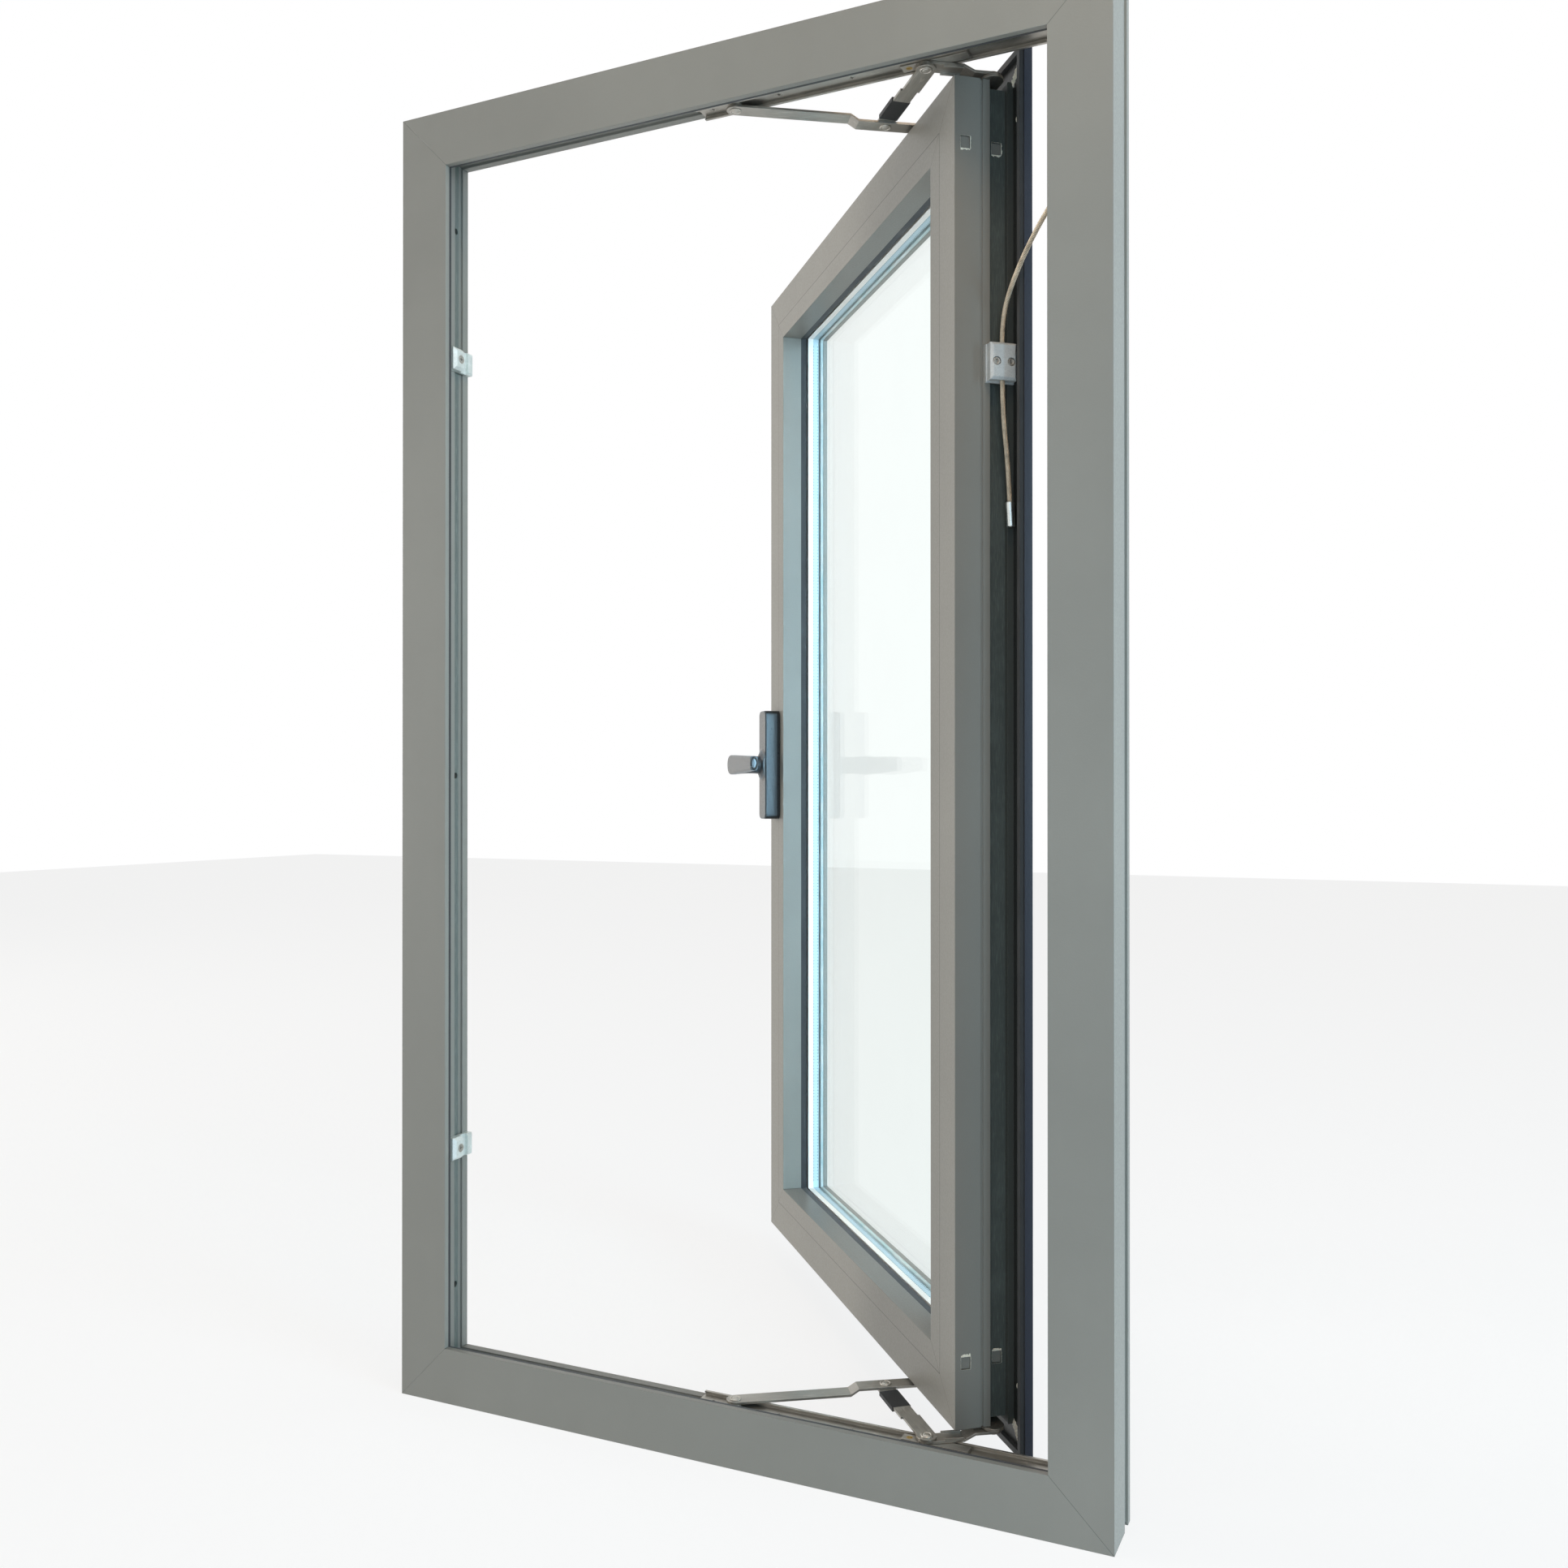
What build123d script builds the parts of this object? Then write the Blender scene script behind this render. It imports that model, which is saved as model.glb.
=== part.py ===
from build123d import *

# Outward-opening aluminium casement window: frame, double-glazed sash, friction stays, handle.
#
# The frame is seen from inside: +X runs to the hinge jamb, +Y outdoors and +Z up. The origin is
# on the frame's room face, at mid-width, level with the underside of the sill. Everything on the
# sash is drawn with the sash shut and is then carried to the open rest pose by `carry`.

import os
from math import asin, cos, degrees, pi, radians, sin, sqrt, tan

os.makedirs("parts", exist_ok=True)

# ---------------------------------------------------------------- driving dimensions, millimetres
FRAME_W = 640.0  # outside width of the frame
FRAME_H = 1150.0  # outside height of the frame
FRAME_D = 55.0  # depth of the frame, room face to weather face
LIP_W = 48.0  # width of the room face, lip included
LIP_T = 5.0  # thickness of the lip that the sash shuts against
REBATE_W = 30.0  # frame edge to the rebate side
WALL = 2.0  # wall of every extrusion
FRAME_OUT_D = 11.0  # depth of the frame's weather-side extrusion
FRAME_BREAK_W = 8.0  # width of the thermal break between its two extrusions
GROOVE_STEP = 3.5  # depth of the set-back beside the break, along Y
GROOVE_SINK = 2.0  # how far that step is set back
FRAME_GASKET_T = 3.7  # thickness of the gasket on the lip
FRAME_GASKET_W = 9.5
SEAL_GAP = 0.3  # air between a gasket and what it meets

SASH_GAP = 13.5  # rebate side to sash edge, shut
SASH_SET = 9.0  # frame room face to sash room face, shut
SASH_PAST = 11.0  # frame weather face to sash weather face, shut
SASH_GROOVE = 15.0  # width of the hardware groove behind the room-side extrusion
GROOVE_DEPTH = 5.0  # depth of the hardware groove
SASH_OUT_D = 12.0  # depth of the sash's weather-side extrusion
STILE_W = 32.0  # face width of stiles and rails
BEAD_W = 19.5  # face width of the glazing bead
FLANGE_REACH = 20.0  # how far the weather flange stands past the sash edge
FLANGE_T = 7.0  # thickness of that flange
GLAZING_LIP_T = 4.5  # thickness of the weather lip that holds the glass
LINE_IN = 8.0  # hardware groove to the shadow line in the sash edge
LINE_W = 2.0
LINE_SINK = 0.8
FLANGE_GASKET_W = 5.0

PANE_T = 5.0  # thickness of one pane
SPACER_T = 12.0  # width of the spacer bar, pane to pane
SPACER_W = 7.0  # height of the spacer bar
PANE_EDGE_GAP = 5.0  # glazing platform to pane edge
INNER_GASKET_T = 6.5  # glazing bead to the first pane
OUTER_GASKET_T = 3.0  # second pane to the weather lip
GLAZING_GASKET_W = 8.0
GASKET_STAND = 0.5  # how far the glazing gaskets stay inside the sight line
SPACER_WALL = 1.0
SPACER_UNDER = 1.0  # sight line to the spacer bar

STAY_ARM = 128.4  # fixed pivot to the arm's middle pivot
STAY_LINK = 95.0  # middle pivot to the shoe, and arm end to nose pivot on the sash plate
STAY_NOSE = 53.8  # shoe to nose pivot, and middle pivot to arm end
PIVOT_IN = 12.9  # frame weather face to the line of the fixed pivots
NOSE_INSET = 2.9  # sash hinge edge to the nose pivot
OPEN_ANGLE = 49.35  # how far the sash stands open in the rest pose, degrees
ARM_W = 15.0
ARM_T = 2.0
LINK_W = 16.0
LINK_T = 1.8
NOSE_W = 14.0
NOSE_RIM = 1.6
STACK_GAP = 0.2  # air between two stacked links
JOGGLE_AT = 97.0  # fixed pivot to the bend in the long arm
JOGGLE_RUN = 7.0
PIVOT_R = 3.0  # radius of every stay rivet
PIVOT_PLAY = 0.05  # radial play of a rivet in its hole
RIVET_HEAD_R = 5.0
RIVET_HEAD_T = 1.2
TRACK_W = 20.0
TRACK_H = 4.2
TRACK_T = 1.2
TRACK_LIP = 1.2
TRACK_LEFT = 33.0  # fixed pivot to the track's near end
TRACK_SCREW_AT = (-21.0, 40.0, 105.0)  # fixed pivot to the track's screws
TRACK_SCREW_END = 8.0  # the last screw to the track's far end
TRACK_END_GAP = 2.0  # track to hinge jamb
SHOE_W = 12.8
SHOE_NECK_W = 10.0
SHOE_BACK = 20.0  # nose pivot of the shoe to its rear end
SHOE_FRONT = 35.0  # the same pivot to its front end
SHOE_T = 3.0
PLATE_T = 2.2
PLATE_W = 18.0
PLATE_PAST_PIVOT = 9.0
PLATE_TAIL = 40.0
PLATE_SCREW_OFF = 5.1  # pivot line to the line of the plate's screws
PLATE_SCREW_END = 10.0  # plate end to its first screw
PLATE_SCREW_EYE = 14.0  # arm's end pivot to the next screw
COLLAR_W = 2.0  # how far the fixed rivet's collar stands past its shank
FRICTION_R = 2.6  # radius of the shoe's friction screw
FRICTION_IN = 6.0  # shoe end to that screw
FRICTION_SLOT = (4.0, 0.9, 0.8)  # length, width and depth of its slot
SCREW_R = 2.0
SCREW_HEAD_R = 3.8
SCREW_L = 12.0
RECESS_L = 3.6  # length, width and depth of a cross recess
RECESS_W = 0.8
RECESS_D = 1.6

HANDLE_DROP = 2.0  # mid-height to the handle's turning axis
HANDLE_IN = 24.0  # sash lock edge to that axis
BASE_W = 27.0
BASE_H = 123.0
BASE_T = 17.5
BASE_WALL = 2.5
BASE_R = 6.0
BASE_EDGE_R = 2.0
MOUNT_PLATE_T = 2.0
PLATE_GAP = 2.3  # sash room face to the inner end of the lever's neck
HANDLE_SCREW_SPAN = 84.0
BOSS_T = 3.5
BOSS_FOOT_R = 19.0  # the boss's foot, which the base's sides cut off
BOSS_RIM = 0.8  # how much wider than the neck its top is
NECK_R = 10.2
NECK_WAIST = 0.5  # how far the neck's waist is drawn in
NECK_FLARE = 0.4  # how far the neck flares out at the lever
NECK_PLAY = 0.08
LEVER_BACK = 46.0  # sash room face to the back of the lever
LEVER_T = 10.0
LEVER_TIP_T = 8.6
LEVER_L = 97.0  # turning axis to the lever's tip
LEVER_HUB_R = 11.0
LEVER_TIP_R = 7.8  # half the height of the lever's flat end
LEVER_FRONT_R = 3.0
LEVER_REAR_R = 3.0
LEVER_END_R = 0.8
SPINDLE_A = 7.0  # side of the square spindle
SPINDLE_PLAY = 0.3
GEAR_W = 24.5
GEAR_GAP = 3.0  # gear case to the chamber's far wall
GEAR_H = 90.0

ROD_W = 11.0
ROD_T = 2.5
ROD_SET = 2.0  # sash edge to the rod's outer face
ROD_PAST_CAM = 40.0
LUG_H = 12.0
LUG_THIN = 0.5  # how much thinner than the rod its lug is
LUG_PLAY = 1.0
LOCK_TRAVEL = 20.0  # how far the rods move when the lever turns down
CAM_R = 4.0
CAM_IN_GROOVE = 4.0  # start of the hardware groove to the cam's axis
CAM_TIP_GAP = 1.0
CAM_BEVEL = 0.8
GUIDE_T = 1.4
GUIDE_H = 22.0
GUIDE_GAP = 0.5
GUIDE_SHARES = (0.15, 0.38, 0.62, 0.85)  # where the guides sit between the keepers

KEEPER_UP = 217.5  # underside of the sill to the lower keeper
KEEPER_DOWN = 211.0  # top of the head to the upper keeper
KEEPER_H = 20.0
KEEPER_FLOOR = 3.0
KEEPER_BLOCK = 8.5
KEEPER_LIP = 6.5
KEEPER_REACH = 17.0  # cam's axis to the keeper's room side
KEEPER_BEVEL = 2.6
KEEPER_LIP_BEVEL = 1.6
KEEPER_SCREW_IN = 4.0  # the cam's channel to the screw's axis
CAM_PLAY = 0.3

CABLE_R = 2.0
CABLE_PLAY = 0.05
CABLE_OFF = 6.5  # sash edge to the cable's axis
CLAMP_DROP = 153.0  # anchor to clamp
CLAMP_H = 30.0
CLAMP_W = 24.0
CLAMP_BASE_T = 2.5
CLAMP_T = 11.0
CLAMP_SCREWS = 12.4  # distance between the clamp's two screws
CLAMP_SCREW_R = 2.0
CLAMP_SCREW_HEAD_R = 3.4
CLAMP_HEAD_T = 2.0
CLAMP_SOCKET_R = 1.7
CLAMP_SOCKET_D = 1.4
CLAMP_STEP = 0.8  # how much smaller than its base the clamp's cover is
CLAMP_BEVEL = 2.0
FERRULE_R = 3.6
FERRULE_L = 20.0
FERRULE_BEVEL = 0.7
ANCHOR_DOWN = 116.0  # top of the head to the middle of the anchor
ANCHOR_IN = 22.0  # frame weather face to the anchor
ANCHOR_BEVEL = 1.2
ANCHOR_H = 26.0
ANCHOR_W = 15.0
ANCHOR_T = 9.0
ANCHOR_CABLE = 4.5  # jamb to the cable's axis in the anchor

FIXING_R = 2.75
FIXING_INSET = 90.0  # frame end to the outer fixing holes
FIXING_DROP = 17.0  # mid-height to the middle fixing hole
SLOT_W = 8.0
SLOT_H = 10.0
SLOT_INSET = 52.0
SLOT_SET = 9.0
DRAIN_W = 26.0
DRAIN_H = 5.0
DRAIN_UP = 6.0  # underside of the sill to the drain slots
CLEAT_ARM = 42.0
CLEAT_T = 12.0
BLOCK_L = 80.0  # length of a glazing setting block

# ---------------------------------------------------------------- where things lie, worked out
HALF_W = FRAME_W / 2
BREAK_OUT = FRAME_D - FRAME_OUT_D
BREAK_IN = BREAK_OUT - FRAME_BREAK_W
SASH_MARGIN = REBATE_W + SASH_GAP
SASH_W = FRAME_W - 2 * SASH_MARGIN
SASH_H = FRAME_H - 2 * SASH_MARGIN
HINGE_EDGE = HALF_W - SASH_MARGIN
SASH_TOP = FRAME_H - SASH_MARGIN
SASH_D = FRAME_D + SASH_PAST - SASH_SET
SASH_IN_D = SASH_D - SASH_OUT_D - SASH_GROOVE
OUT_START = SASH_IN_D + SASH_GROOVE
LIP_START = SASH_D - GLAZING_LIP_T
PANE_SET = LIP_START - OUTER_GASKET_T - SPACER_T - 2 * PANE_T
BEAD_D = PANE_SET - INNER_GASKET_T
LINE_T = SASH_IN_D - LINE_IN
SIGHT = STILE_W + BEAD_W
PANE_IN = STILE_W + PANE_EDGE_GAP
PIVOT_Y = FRAME_D - PIVOT_IN
GROOVE_MID = SASH_IN_D + SASH_GROOVE / 2
CAM_SET = SASH_IN_D + CAM_IN_GROOVE
KEEPER_Z = (KEEPER_UP, FRAME_H - KEEPER_DOWN)
KEEPER_FRONT = SASH_SET + CAM_SET - KEEPER_REACH
HANDLE_Z = FRAME_H / 2 - HANDLE_DROP
GEAR_D = SASH_IN_D - 2 * WALL - GEAR_GAP
ANCHOR_Z = FRAME_H - ANCHOR_DOWN
ANCHOR_Y = FRAME_D - ANCHOR_IN
CLAMP_Z = ANCHOR_Z - CLAMP_DROP

NOSE_SHUT = Vector(HINGE_EDGE - NOSE_INSET, PIVOT_Y)
FIX = NOSE_SHUT - Vector(STAY_ARM + STAY_LINK + STAY_NOSE, 0)
ARM_ANGLE = degrees(asin(STAY_LINK / STAY_ARM * sin(radians(OPEN_ANGLE))))
ARM_DIR = Vector(cos(radians(ARM_ANGLE)), sin(radians(ARM_ANGLE)))
SASH_DIR = Vector(cos(radians(OPEN_ANGLE)), -sin(radians(OPEN_ANGLE)))
MIDDLE = FIX + ARM_DIR * STAY_ARM
ARM_END = FIX + ARM_DIR * (STAY_ARM + STAY_NOSE)
SHOE_AT = MIDDLE + SASH_DIR * STAY_LINK
NOSE_AT = ARM_END + SASH_DIR * STAY_LINK

SHOE_LOW = TRACK_T + STACK_GAP
NOSE_LOW = SHOE_LOW + SHOE_T + STACK_GAP
LINK_LOW = NOSE_LOW + ARM_T + STACK_GAP
ARM_LOW = LINK_LOW + LINK_T + STACK_GAP
PLATE_LOW = SASH_GAP - PLATE_T

carry = Pos(NOSE_AT.X, NOSE_AT.Y) * Rot(0, 0, -OPEN_ANGLE) * Pos(-NOSE_SHUT.X, -NOSE_SHUT.Y)


# ---------------------------------------------------------------- helpers
def save(name, *solids):
    """Write one node from one or more solids, or lists of them."""
    flat = []
    for item in solids:
        flat += item if isinstance(item, list) else [item]
    loose = [solid for item in flat for solid in item.solids()]
    export_step(loose[0] if len(loose) == 1 else Compound(children=loose), f"parts/{name}.step")


def sash_save(name, *solids):
    """Write a node that rides on the sash, carried to its open place."""
    flat = []
    for item in solids:
        flat += item if isinstance(item, list) else [item]
    save(name, [carry * item for item in flat])


def block(x0, x1, y0, y1, z0, z1):
    """A box between two corners."""
    return Pos(x0, y0, z0) * Box(x1 - x0, y1 - y0, z1 - z0, align=(Align.MIN,) * 3)


def rod_along(axis, radius, start, end, across, along):
    """A cylinder along X, Y or Z, from start to end, at its other two coordinates."""
    length = end - start
    post = Cylinder(radius, length, align=(Align.CENTER, Align.CENTER, Align.MIN))
    if axis == "X":
        return Pos(start, across, along) * Rot(0, 90, 0) * post
    if axis == "Y":
        return Pos(across, start, along) * Rot(-90, 0, 0) * post
    return Pos(across, along, start) * post


SIDES = {"bottom": 0, "left": 90, "top": 180, "right": -90}


def ring_member(profile, side, width, height, reach=0.0):
    """One mitred member of a rectangle. The profile holds (inward, depth) points; `reach` is
    how far it stands outside the rectangle."""
    upright = side in ("left", "right")
    length, half_span = (height, width / 2) if upright else (width, height / 2)
    outer, *holes = profile
    faces = []
    for loop in (outer, *holes):
        corners = [(0, depth, inward - half_span) for inward, depth in loop]
        faces.append(make_face(Polyline(*corners, close=True)))
    bar = extrude(faces[0], amount=length, both=True, dir=(1, 0, 0))
    for face in faces[1:]:
        bar -= extrude(face, amount=length, both=True, dir=(1, 0, 0))
    low, deep = -half_span - reach, min(half_span, length / 2) - 1.0
    ends = [
        (-length / 2 - reach, 0, low),
        (length / 2 + reach, 0, low),
        (length / 2 - deep, 0, deep - half_span),
        (-length / 2 + deep, 0, deep - half_span),
    ]
    mitre = extrude(make_face(Polyline(*ends, close=True)), amount=200, both=True, dir=(0, 1, 0))
    turned = Rot(0, SIDES[side], 0) * (bar & mitre)
    return Pos(0, 0, FRAME_H / 2) * turned


def rect(u0, u1, y0, y1):
    """Corner points of a rectangle in a member's section."""
    return [(u0, y0), (u1, y0), (u1, y1), (u0, y1)]


def loop(u0, u1, y0, y1, width, height):
    """A plain rectangular ring as one solid, u0 to u1 inward and y0 to y1 deep."""
    outer = Box(width - 2 * u0, y1 - y0, height - 2 * u0)
    inner = Box(width - 2 * u1, y1 - y0 + 2, height - 2 * u1)
    return Pos(0, (y0 + y1) / 2, FRAME_H / 2) * (outer - inner)


def in_sash(points):
    """Shift a sash section's depths from the sash's room face to the frame's."""
    return [(inward, depth + SASH_SET) for inward, depth in points]


def both_ends(shape):
    """A stay piece drawn upward from z = 0, set on the sill and mirrored under the head."""
    flipped = mirror(shape, about=Plane.XY)
    return [Pos(0, 0, REBATE_W) * shape, Pos(0, 0, FRAME_H - REBATE_W) * flipped]


def capsule(length, width, low, thick):
    """A round-ended bar from the origin along +X, between two pivots."""
    disc = Pos(0, 0, low) * Cylinder(width / 2, thick, align=(Align.CENTER,) * 2 + (Align.MIN,))
    bar = block(0, length, -width / 2, width / 2, low, low + thick)
    tip = Pos(length, 0, 0) * disc
    return disc + bar + tip


def post(radius, low, high, x=0.0, y=0.0):
    """An upright cylinder."""
    return rod_along("Z", radius, low, high, x, y)


def csk_screw(length, low=0.0):
    """A countersunk screw pointing down -Z, its flush head's top at z = low."""
    head = Pos(0, 0, low - SCREW_R) * Cone(
        SCREW_R, SCREW_HEAD_R, SCREW_R, align=(Align.CENTER,) * 2 + (Align.MIN,)
    )
    cross = Pos(0, 0, low) * (Box(RECESS_L, RECESS_W, 2 * RECESS_D) + Box(RECESS_W, RECESS_L, 2 * RECESS_D))
    return post(SCREW_R, low - length, low - SCREW_R) + (head - cross)


def csk_tool(length, low=0.0):
    """What a countersunk screw takes out of the pieces around it."""
    head = Pos(0, 0, low - SCREW_R) * Cone(
        SCREW_R, SCREW_HEAD_R, SCREW_R, align=(Align.CENTER,) * 2 + (Align.MIN,)
    )
    return post(SCREW_R, low - length, low - SCREW_R) + head


# ---------------------------------------------------------------- frame
FRAME_INNER = [
    [(0, 0), (LIP_W, 0), (LIP_W, LIP_T), (REBATE_W, LIP_T), (REBATE_W, BREAK_IN), (0, BREAK_IN)],
    rect(WALL, REBATE_W - WALL, WALL, BREAK_IN - WALL),
]
FRAME_OUTER = [
    [
        (GROOVE_SINK, BREAK_OUT),
        (REBATE_W - GROOVE_SINK, BREAK_OUT),
        (REBATE_W - GROOVE_SINK, BREAK_OUT + GROOVE_STEP),
        (REBATE_W, BREAK_OUT + GROOVE_STEP),
        (REBATE_W, FRAME_D),
        (0, FRAME_D),
        (0, BREAK_OUT + GROOVE_STEP),
        (GROOVE_SINK, BREAK_OUT + GROOVE_STEP),
    ],
    rect(GROOVE_SINK + WALL, REBATE_W - GROOVE_SINK - WALL, BREAK_OUT + WALL, FRAME_D - WALL),
]
FRAME_BREAKS = [
    [rect(GROOVE_SINK, GROOVE_SINK + WALL, BREAK_IN, BREAK_OUT)],
    [rect(REBATE_W - GROOVE_SINK - WALL, REBATE_W - GROOVE_SINK, BREAK_IN, BREAK_OUT)],
]
BREAK_MID = (BREAK_IN + BREAK_OUT) / 2
FIXING_Z = (FIXING_INSET, FRAME_H / 2 - FIXING_DROP, FRAME_H - FIXING_INSET)
TRACK_START = FIX.X - TRACK_LEFT
TRACK_STOP = HALF_W - REBATE_W - TRACK_END_GAP
TRACK_SCREWS = [FIX.X + step for step in TRACK_SCREW_AT] + [TRACK_STOP - TRACK_SCREW_END]


def track_screws(shape):
    """The same screw at every track hole, sill and head."""
    return both_ends(Pos(0, PIVOT_Y, 0) * shape)


def fixing_tools():
    """Fixing holes right through both jambs."""
    tools = []
    for height in FIXING_Z:
        for edge in (-HALF_W, HALF_W - REBATE_W):
            tools.append(rod_along("X", FIXING_R, edge - 1, edge + REBATE_W + 1, BREAK_MID, height))
    return tools


def cut(shape, tools):
    """Take every tool out of a shape."""
    for tool in tools:
        shape = shape - tool
    return shape


def anchor_place():
    """Where the cable anchor's screw sits, its head facing the lock jamb."""
    face = HALF_W - REBATE_W - ANCHOR_T
    return Pos(face, ANCHOR_Y, ANCHOR_Z + ANCHOR_H / 4) * Rot(0, -90, 0)


def keeper_tools():
    """What the keepers' screws take out of the lock jamb."""
    tools = []
    for height in KEEPER_Z:
        turn = Rot(0, 90, 0) * csk_tool(SCREW_L)
        tools.append(Pos(-HALF_W + REBATE_W + KEEPER_BLOCK, KEEPER_SCREW_Y, height) * turn)
    return tools


def frame_members():
    """Sill, head and two jambs, each a room-side and a weather-side extrusion."""
    along = [Pos(x, 0, 0) * csk_tool(SCREW_L, TRACK_T) for x in TRACK_SCREWS]
    rail_tools = []
    for tool in along:
        rail_tools += track_screws(tool)
    drains = []
    for x in (-FRAME_W / 4, FRAME_W / 4):
        span = (x - DRAIN_W / 2, x + DRAIN_W / 2, FRAME_D - 1.5 * WALL, FRAME_D + 1)
        drains.append(block(*span, DRAIN_UP, DRAIN_UP + DRAIN_H))
    jamb_tools = fixing_tools()
    tools = {
        "bottom": rail_tools + drains,
        "top": rail_tools,
        "left": jamb_tools + keeper_tools(),
        "right": jamb_tools + [anchor_place() * csk_tool(SCREW_L)],
    }
    names = {"bottom": "sill", "top": "head", "left": "lock_jamb", "right": "hinge_jamb"}
    breaks = []
    for side, name in names.items():
        solids = []
        for profile in (FRAME_INNER, FRAME_OUTER):
            solids.append(cut(ring_member(profile, side, FRAME_W, FRAME_H), tools[side]))
        save(f"frame_{name}", solids)
        for profile in FRAME_BREAKS:
            strip = ring_member(profile, side, FRAME_W, FRAME_H)
            breaks.append(cut(strip, tools[side]))
    save("frame_thermal_breaks", breaks)


def corner_cleats(inset, depth, width, height, thick):
    """Four L-shaped cleats that key a mitred ring together inside its chambers."""
    cleats = []
    for sx in (-1, 1):
        for sz in (-1, 1):
            x, z = sx * (width / 2 - inset), sz * (height / 2 - inset)
            flat = Pos(x - sx * CLEAT_ARM / 2, 0, z - sz * thick / 2) * Box(CLEAT_ARM, depth, thick)
            upright = Pos(x - sx * thick / 2, 0, z - sz * CLEAT_ARM / 2) * Box(thick, depth, CLEAT_ARM)
            cleats.append(Pos(0, 0, FRAME_H / 2) * (flat + upright))
    return cleats


def frame_small_parts():
    """Corner cleats and the gasket under the lip."""
    depth = BREAK_IN - 2 * WALL
    cleats = corner_cleats(WALL, depth, FRAME_W, FRAME_H, CLEAT_T)
    save("frame_corner_cleats", [Pos(0, WALL + depth / 2, 0) * cleat for cleat in cleats])
    inner = LIP_W - GASKET_STAND
    gasket = loop(inner - FRAME_GASKET_W, inner, LIP_T, LIP_T + FRAME_GASKET_T, FRAME_W, FRAME_H)
    save("frame_gasket", gasket)


# ---------------------------------------------------------------- keepers and cable anchor
KEEPER_CHANNEL_IN = SASH_SET + CAM_SET - CAM_R - CAM_PLAY
KEEPER_CHANNEL_OUT = SASH_SET + CAM_SET + CAM_R + CAM_PLAY
KEEPER_SCREW_Y = KEEPER_CHANNEL_IN - KEEPER_SCREW_IN


def keeper(height):
    """A die-cast keeper: bevelled block, channel for the cam and the lip that holds it."""
    face = -HALF_W + REBATE_W
    low, high = height - KEEPER_H / 2, height + KEEPER_H / 2
    body = block(face, face + KEEPER_BLOCK, KEEPER_FRONT, KEEPER_CHANNEL_IN, low, high)
    rim = body.faces().sort_by(Axis.X)[-1].edges()
    body = chamfer([e for e in rim if e.center().Y < KEEPER_CHANNEL_IN - 1], KEEPER_BEVEL)
    floor = block(face, face + KEEPER_FLOOR, KEEPER_CHANNEL_IN, KEEPER_CHANNEL_OUT, low, high)
    lip = block(face, face + KEEPER_LIP, KEEPER_CHANNEL_OUT, FRAME_D, low, high)
    lip_rim = lip.faces().sort_by(Axis.X)[-1].edges()
    outward = [e for e in lip_rim if e.center().Y > KEEPER_CHANNEL_OUT + 0.1]
    lip = chamfer(outward, KEEPER_LIP_BEVEL)
    screw = Pos(face + KEEPER_BLOCK, KEEPER_SCREW_Y, height) * Rot(0, 90, 0)
    return (body + floor + lip) - screw * csk_tool(SCREW_L), screw * csk_screw(SCREW_L)


def keepers():
    """Both keepers and their screws."""
    for name, height in zip(("lower", "upper"), KEEPER_Z):
        save(f"keeper_{name}", keeper(height)[0])
    save("keeper_screws", [keeper(height)[1] for height in KEEPER_Z])


def cable_anchor():
    """The block on the hinge jamb that the restrictor cable is swaged into."""
    face = HALF_W - REBATE_W
    low, high = ANCHOR_Z - ANCHOR_H / 2, ANCHOR_Z + ANCHOR_H / 2
    body = block(face - ANCHOR_T, face, ANCHOR_Y - ANCHOR_W / 2, ANCHOR_Y + ANCHOR_W / 2, low, high)
    body = chamfer(body.faces().sort_by(Axis.X)[0].edges(), ANCHOR_BEVEL)
    bore = post(CABLE_R + CABLE_PLAY, low - 1, low + ANCHOR_H / 3, face - ANCHOR_CABLE, ANCHOR_Y)
    save("cable_anchor", body - bore - anchor_place() * csk_tool(SCREW_L))
    save("cable_anchor_screw", anchor_place() * csk_screw(SCREW_L))


# ---------------------------------------------------------------- friction stays
def at(point, turn=0.0):
    """Place a piece with its origin at a plan point, turned about the upright."""
    return Pos(point.X, point.Y, 0) * Rot(0, 0, turn)


def tracks():
    """Channel tracks on sill and head, their screws and the rivets of the fixed pivots."""
    span = (TRACK_START, TRACK_STOP)
    half = TRACK_W / 2
    channel = block(*span, -half, half, 0, TRACK_H)
    channel -= block(span[0] - 1, span[1] + 1, TRACK_T - half, half - TRACK_T, TRACK_T, TRACK_H + 1)
    lips = block(*span, -half, half, TRACK_H - TRACK_T, TRACK_H)
    mouth = half - TRACK_T - TRACK_LIP
    lips -= block(span[0] - 1, span[1] + 1, -mouth, mouth, 0, TRACK_H + 1)
    track = Pos(0, PIVOT_Y, 0) * (channel + lips)
    for x in TRACK_SCREWS:
        track -= Pos(x, PIVOT_Y, 0) * csk_tool(SCREW_L, TRACK_T)
    track -= at(FIX) * post(PIVOT_R, -1, TRACK_T + 1)
    save("stay_tracks", both_ends(track))
    screws = [Pos(x, PIVOT_Y, 0) * csk_screw(SCREW_L, TRACK_T) for x in TRACK_SCREWS]
    save("stay_track_screws", [piece for screw in screws for piece in both_ends(screw)])
    collar = post(PIVOT_R + COLLAR_W, TRACK_T, NOSE_LOW - STACK_GAP / 2)
    head = post(RIVET_HEAD_R, NOSE_LOW + ARM_T + STACK_GAP / 2, NOSE_LOW + ARM_T + RIVET_HEAD_T)
    rivet = post(PIVOT_R, STACK_GAP, NOSE_LOW + ARM_T + RIVET_HEAD_T) + collar + head
    save("stay_fixed_rivets", both_ends(at(FIX) * rivet))


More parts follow.
